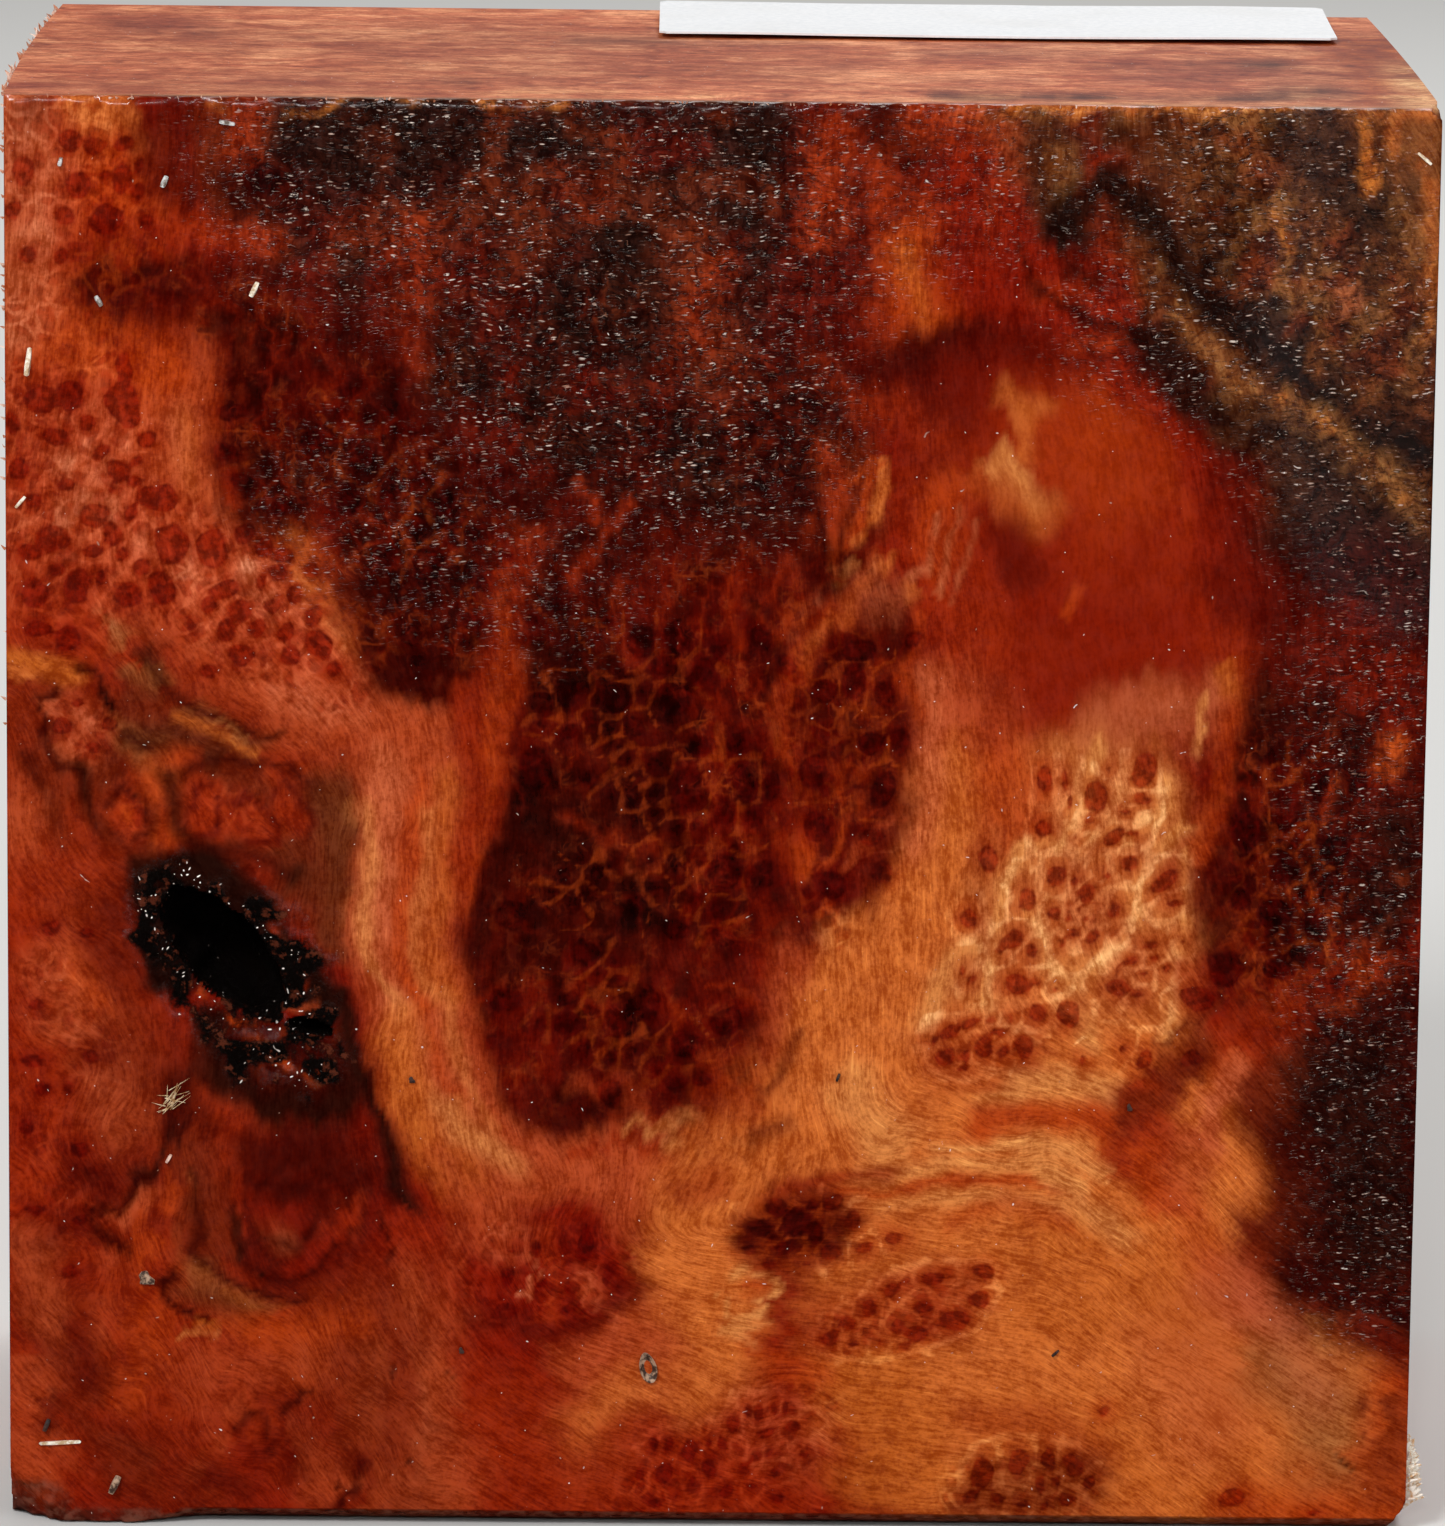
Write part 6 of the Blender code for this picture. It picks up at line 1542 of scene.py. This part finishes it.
cockle += 0.10 * (1 + lumps(sheet[:, 0], sheet[:, 1], 0, 9.0, 71)) * (0.3 + 0.7 * share_deep)
sheet[:, 2] = HEIGHT + LABEL_LIFT + REAR_LIFT * np.clip(share_deep, 0, 1) ** 1.5 + cockle * 0.8
# Only the four corner points move in
corner_in = (np.abs(share_along - 0.5) > 0.4999) & (np.abs(share_deep - 0.5) > 0.4999)
sheet[:, 0] += np.where(corner_in, CORNER_NIP * np.sign(0.5 - share_along), 0)
sheet[:, 1] += np.where(corner_in, CORNER_NIP * np.sign(0.5 - share_deep), 0)
set_points(label, sheet)
sheet_wall = label.modifiers.new("paper", "SOLIDIFY")
sheet_wall.thickness = LABEL_THICKNESS * MM
sheet_wall.offset = 1.0
bpy.ops.object.modifier_apply(modifier=sheet_wall.name)
bpy.ops.object.shade_smooth_by_angle(angle=math.radians(40))

paper = Finish("damp label paper")
pulp = paper.noise(paper.mm, 1.4, 5.0, 0.65)
cloud = paper.noise(paper.mm, 0.09, 3.0)
white = paper.mix(paper.fit(pulp, 0.3, 0.7), (0.80, 0.82, 0.85, 1), (0.90, 0.91, 0.93, 1))
white = paper.mix(paper.fit(cloud, 0.45, 0.75, 0.0, 0.35), white, (0.74, 0.74, 0.73, 1))
paper.put(paper.shader.inputs["Base Color"], white)
paper.shader.inputs["Roughness"].default_value = 0.6
paper_bump = paper.add("ShaderNodeBump", {"Height": paper.times(pulp, 0.03), "Distance": 0.001})
paper.put(paper.shader.inputs["Normal"], paper_bump.outputs["Normal"])
label.data.materials.append(paper.material)
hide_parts("paper_label")
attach(label, "root")

# Torn fibres
# The saw left pale torn splinters: a dry tuft low on the right side, and small burrs along the arrises.
# They are still part of the wood. One splinter is shaped, and its copies stand wherever the wood is torn.
BLADE_SIZE = (0.42, 0.16, 1)
FULL_TURN = 6.3
bpy.ops.object.select_all(action="DESELECT")
bpy.ops.mesh.primitive_cube_add(size=1, location=(0, 0, 0.5), scale=BLADE_SIZE)
blade = bpy.context.object
blade.name = "splinter_model"
bpy.ops.object.transform_apply(location=True, rotation=True, scale=True)
bpy.ops.object.mode_set(mode="EDIT")
bpy.ops.mesh.select_all(action="SELECT")
bpy.ops.mesh.subdivide(number_cuts=1)
bpy.ops.mesh.select_all(action="DESELECT")
bpy.ops.object.mode_set(mode="OBJECT")
for point in blade.data.vertices:
    rise = point.co.z
    point.co.x *= 1.0 - 0.85 * rise ** 1.6
    point.co.y = point.co.y * (1.0 - 0.8 * rise) + 0.22 * rise ** 2 + 0.5 * point.co.x ** 2


def strew(model, name, places):
    """Stands copies of a model at many places, each with a way, a turn and a size in mm, and joins them."""
    copies = []
    for point, way, turn, size in places:
        bpy.ops.object.select_all(action="DESELECT")
        model.select_set(True)
        bpy.context.view_layer.objects.active = model
        bpy.ops.object.duplicate(linked=False)
        copy = bpy.context.object
        copy.location = Vector(point) * MM
        copy.rotation_euler = (Vector(way).to_track_quat("Z", "Y") @ Quaternion((0, 0, 1), turn)).to_euler()
        copy.scale = Vector(size) * MM
        copies.append(copy)
    bpy.ops.object.select_all(action="DESELECT")
    for copy in copies:
        copy.select_set(True)
    bpy.context.view_layer.objects.active = copies[0]
    bpy.ops.object.transform_apply(location=True, rotation=True, scale=True)
    if len(copies) > 1:
        bpy.ops.object.join()
    piece = bpy.context.object
    piece.name = name
    return piece


dice = np.random.default_rng(81)
TUFT_BLADES = 300
TUFT_LOW = 2.4
TUFT_HIGH = 8.6
TUFT_X = LEFT + WIDTH - 0.55
tuft_places = []
for _ in range(TUFT_BLADES):
    rise = dice.random()
    height = TUFT_LOW + (TUFT_HIGH - TUFT_LOW) * rise
    way = (0.75 - 0.50 * rise + 0.4 * dice.random(), dice.normal() * 0.30 - 0.15, 0.8)
    length = (1.8 + 1.3 * dice.random()) * (1 - 0.35 * rise)
    place = (TUFT_X + 0.25 * dice.random(), FRONT + 2.2 + 3.2 * dice.random(), height)
    turn = dice.uniform(0, FULL_TURN)
    tuft_places.append((place, way, turn, (1.9 + 1.6 * dice.random(), 2.2 + 1.6 * dice.random(), length)))
tuft = strew(blade, "torn_tuft", tuft_places)

# Burrs on the left and the front arris of the top, and on the upright arris at the left
TOP_LEFT_BURRS = 70
TOP_FRONT_BURRS = 80
UPRIGHT_BURRS = 36
burr_places = []
for _ in range(TOP_LEFT_BURRS):
    depth = 2 + 84 * dice.random()
    size = 0.35 + 0.75 * dice.random() ** 2
    place = (LEFT - 0.2 - 0.6 * math.sin(math.pi * depth / THICKNESS), FRONT + depth, HEIGHT - 0.35)
    way = (dice.normal() * 0.25 - 0.5, dice.normal() * 0.4, 0.9)
    burr_places.append((place, way, dice.uniform(0, FULL_TURN), (1.3 * size, 1.6 * size, size)))
for _ in range(TOP_FRONT_BURRS):
    place = (LEFT + 1 + 150 * dice.random(), FRONT + 0.25, HEIGHT - 0.25)
    way = (dice.normal() * 0.5, -0.5 + dice.normal() * 0.2, 0.6)
    turn = dice.uniform(0, FULL_TURN)
    burr_places.append((place, way, turn, (0.7, 0.8, 0.28 + 0.3 * dice.random())))
for _ in range(UPRIGHT_BURRS):
    place = (LEFT - 0.05, FRONT + 0.3 + 0.6 * dice.random(), 88 + 68 * dice.random() ** 0.5)
    way = (-0.7, dice.normal() * 0.3, 0.5)
    turn = dice.uniform(0, FULL_TURN)
    burr_places.append((place, way, turn, (0.8, 0.9, 0.3 + 0.4 * dice.random())))
burrs = strew(blade, "arris_burrs", burr_places)

torn = Finish("dry torn fibre")
straw_noise = torn.noise(torn.vector("MULTIPLY", torn.mm, (2.2, 2.2, 0.8)), 1.0, 4.0, 0.6)
low_share = torn.fit(torn.split(torn.mm)[2], 2.0, 7.0)
straw = torn.mix(torn.fit(straw_noise, 0.36, 0.54), (0.80, 0.50, 0.26, 1), (1.0, 0.95, 0.86, 1))
straw = torn.mix(torn.times(torn.less(1.0, low_share), 0.20), straw, (0.30, 0.10, 0.03, 1))
torn.put(torn.shader.inputs["Base Color"], straw)
torn.shader.inputs["Roughness"].default_value = 0.45
burr_finish = Finish("torn arris fibre")
burr_noise = burr_finish.noise(burr_finish.mm, 0.5, 4.0, 0.6)
burr_tone = burr_finish.fit(burr_noise, 0.42, 0.62)
burr_tone = burr_finish.mix(burr_tone, (0.50, 0.17, 0.08, 1), (0.86, 0.62, 0.50, 1))
burr_finish.put(burr_finish.shader.inputs["Base Color"], burr_tone)
burr_finish.shader.inputs["Roughness"].default_value = 0.4
for piece, finish in ((tuft, torn), (burrs, burr_finish)):
    piece.data.materials.clear()
    piece.data.materials.append(finish.material)
    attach(piece, "root")

# Saw chips and other bits
# Small loose things that stick to the wet face: chips and slivers of wood, grey flakes, a seed husk and a
# wisp of fibre. One chip is shaped, and the others are copies of it in other sizes.
bpy.ops.object.select_all(action="DESELECT")
bpy.ops.mesh.primitive_cube_add(size=1, scale=(1, 0.5, 1))
chip = bpy.context.object
chip.name = "chip_model"
bpy.ops.object.transform_apply(location=True, rotation=True, scale=True)
bpy.ops.object.mode_set(mode="EDIT")
bpy.ops.mesh.select_all(action="SELECT")
bpy.ops.mesh.subdivide(number_cuts=2, smoothness=0.35, fractal=0.35, seed=4)
bpy.ops.mesh.select_all(action="DESELECT")
bpy.ops.object.mode_set(mode="OBJECT")
for point in chip.data.vertices:
    point.co.x *= 1 - 0.55 * max(0.0, point.co.z + 0.5) ** 1.5
    point.co.x += 0.16 * math.sin(5.0 * point.co.z)
    point.co.y += 0.25 * point.co.x ** 2

# Name, tint, place across and up, width, thickness and length in mm, and lean in degrees
BITS = [
    ("cream_sliver_1", "cream bit", (2.5, 127.6), (1.1, 0.8, 2.7), 6),
    ("cream_sliver_2", "cream bit", (26.5, 135.6), (1.2, 0.8, 1.5), 24),
    ("cream_sliver_3", "cream bit", (5.4, 8.9), (0.5, 0.6, 4), 87),
    ("cream_sliver_4", "cream bit", (1.6, 112.5), (0.6, 0.5, 1.4), 40),
    ("grey_flake_1", "grey bit", (23.6, 153.3), (1.2, 0.6, 1.5), 100),
    ("grey_flake_2", "grey bit", (17, 147), (1.2, 0.8, 1.1), 20),
    ("grey_flake_3", "grey bit", (10, 134.2), (1.4, 0.7, 1.1), -30),
    ("grey_flake_4", "grey bit", (6, 149), (0.9, 0.6, 0.8), 10),
    ("pink_fleck", "pink bit", (17.3, 40.8), (0.7, 0.5, 0.9), 30),
    ("grey_speck", "brown bit", (14.8, 27.5), (1.5, 0.8, 1.3), 0),
    ("brown_chip", "brown bit", (11.4, 4.3), (2, 1.1, 1.7), 24),
    ("dark_grain_1", "dark bit", (4, 10.9), (1.1, 0.7, 1.2), 20),
    ("dark_grain_2", "dark bit", (49, 19.7), (0.5, 0.4, 0.6), 0),
    ("dark_grain_3", "dark bit", (89.5, 50.5), (0.5, 0.4, 0.8), 20),
    ("dark_grain_4", "dark bit", (43.5, 49.8), (0.6, 0.4, 0.6), 0),
    ("dark_grain_5", "dark bit", (121, 47.5), (0.5, 0.4, 0.7), 0),
    ("dark_grain_6", "dark bit", (113.5, 20), (0.7, 0.4, 0.9), 50),
    ("pale_crack_chip", "cream bit", (150.2, 150.8), (0.8, 0.5, 1.7), -50),
]
BIT_TINTS = {
    "cream bit": ((0.55, 0.36, 0.2, 1), (0.92, 0.84, 0.7, 1)),
    "grey bit": ((0.2, 0.15, 0.12, 1), (0.68, 0.66, 0.64, 1)),
    "tan bit": ((0.4, 0.2, 0.07, 1), (0.8, 0.62, 0.4, 1)),
    "pink bit": ((0.55, 0.28, 0.2, 1), (0.9, 0.6, 0.5, 1)),
    "brown bit": ((0.05, 0.02, 0.01, 1), (0.45, 0.28, 0.18, 1)),
    "dark bit": ((0.008, 0.004, 0.003, 1), (0.06, 0.02, 0.012, 1)),
}
bit_finishes = {}
for tint, (dark, light) in BIT_TINTS.items():
    finish = Finish(tint)
    clouds = finish.noise(finish.mm, 1.6, 4.0, 0.6)
    finish.put(finish.shader.inputs["Base Color"], finish.mix(finish.fit(clouds, 0.40, 0.60), dark, light))
    finish.shader.inputs["Roughness"].default_value = 0.6
    bit_finishes[tint] = finish.material
loose = []
for name, tint, (a, u), size, turn in BITS:
    way = (math.sin(math.radians(turn)), 0, math.cos(math.radians(turn)))
    bit = strew(chip, name, [((LEFT + a, FRONT - 0.10, u), way, 0, size)])
    bit.data.materials.clear()
    bit.data.materials.append(bit_finishes[tint])
    loose.append(bit)

# The husk is a shell, open to the front
HUSK_ACROSS = 69.3
HUSK_UP = 18.0
HUSK_SIZE = (1.9, 1.4, 3.5)
HUSK_LEAN = -14
bpy.ops.object.select_all(action="DESELECT")
bpy.ops.mesh.primitive_uv_sphere_add(segments=20, ring_count=14, radius=0.5)
husk = bpy.context.object
husk.name = "seed_husk"
for point in husk.data.vertices:
    x_share, y_share, z_share = point.co
    hollow_in = max(0.0, 0.21 - x_share ** 2 - z_share ** 2)
    if y_share < 0:
        point.co.y = -0.10 + 2.0 * hollow_in
    point.co.x *= 1 - 0.5 * z_share ** 2 - 0.2 * z_share
husk.scale = Vector(HUSK_SIZE) * MM
husk.rotation_euler = (0, math.radians(HUSK_LEAN), 0)
husk.location = ((LEFT + HUSK_ACROSS) * MM, (FRONT - 0.3) * MM, HUSK_UP * MM)
bpy.ops.object.transform_apply(location=True, rotation=True, scale=True)
husk.data.materials.append(bit_finishes["brown bit"])
loose.append(husk)

# The long strands of the wisp point up to the right, and the short ones back to the left
WISP_ACROSS = 17.2
WISP_UP = 47.0
LONG_STRANDS = 15
ALL_STRANDS = 22
wisp_places = []
for number in range(ALL_STRANDS):
    is_long = number < LONG_STRANDS
    turn = dice.normal() * 0.55 + (0.75 if is_long else 3.4)
    way = (math.cos(turn), -0.12 - 0.2 * dice.random(), math.sin(turn))
    length = (1.5 + 1.6 * dice.random()) if is_long else (0.7 + 0.9 * dice.random())
    girth = 0.24 + 0.5 * dice.random() ** 3
    place = (LEFT + WISP_ACROSS + dice.normal() * 0.3, FRONT - 0.02, WISP_UP + dice.normal() * 0.5)
    wisp_places.append((place, way, 0.0, (girth, 0.5, length)))
wisp = strew(blade, "fibre_wisp", wisp_places)
wisp.data.materials.clear()
wisp.data.materials.append(bit_finishes["tan bit"])
loose.append(wisp)
for bit in loose:
    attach(bit, "root")
for model in (blade, chip):
    bpy.data.objects.remove(model, do_unlink=True)

# Floor, light and camera
# A pale plain floor under four soft lamps, with the camera where the photograph was taken from. None of
# it belongs to the part.
bpy.ops.object.select_all(action="DESELECT")
bpy.ops.mesh.primitive_plane_add(size=8, location=(0, 1.0, -0.0002))
floor = bpy.context.object
floor.name = "floor"
pale = bpy.data.materials.new("pale floor")
pale.use_nodes = True
pale.node_tree.nodes["Principled BSDF"].inputs["Base Color"].default_value = (0.74, 0.74, 0.73, 1)
pale.node_tree.nodes["Principled BSDF"].inputs["Roughness"].default_value = 0.9
floor.data.materials.append(pale)
floor.visible_glossy = False

# Name, place and size in metres, and power in watts
LAMPS = [
    ("key lamp", (-0.55, -1.15, 1.05), 0.35, 13.8),
    ("fill lamp", (0.95, -0.95, 0.75), 0.9, 3.5),
    ("glint lamp", (-0.1, -1.55, 0.62), 0.05, 2.6),
    ("rear lamp", (0.3, 1.1, 1.3), 0.8, 12),
]
AIM = Vector((0, 0, 0.08))
for name, place, size, power in LAMPS:
    bpy.ops.object.light_add(type="AREA", location=place)
    lamp = bpy.context.object
    lamp.name = name
    lamp.data.size = size
    lamp.data.energy = power
    lamp.rotation_euler = (AIM - lamp.location).to_track_quat("-Z", "Y").to_euler()

world = bpy.data.worlds.new("studio")
bpy.context.scene.world = world
world.use_nodes = True
world.node_tree.nodes["Background"].inputs["Color"].default_value = (1.0, 0.97, 0.93, 1)
world.node_tree.nodes["Background"].inputs["Strength"].default_value = 0.34
world.cycles_visibility.glossy = False

CAMERA_PLACE = (-0.00512, -0.9621, 0.26557)
CAMERA_LENS = 217.5
PITCH = math.radians(11.136)
YAW = math.radians(0.3234)
ROLL = math.radians(0.6294)
bpy.ops.object.camera_add(location=CAMERA_PLACE)
camera = bpy.context.object
camera.name = "photo camera"
aimed = Euler((math.radians(90) - PITCH, 0, -YAW)).to_quaternion() @ Quaternion((0, 0, 1), ROLL)
camera.rotation_euler = aimed.to_euler()
camera.data.lens = CAMERA_LENS
camera.data.sensor_width = 36
camera.data.sensor_fit = "HORIZONTAL"
bpy.context.scene.camera = camera
bpy.context.scene.view_settings.view_transform = "Standard"
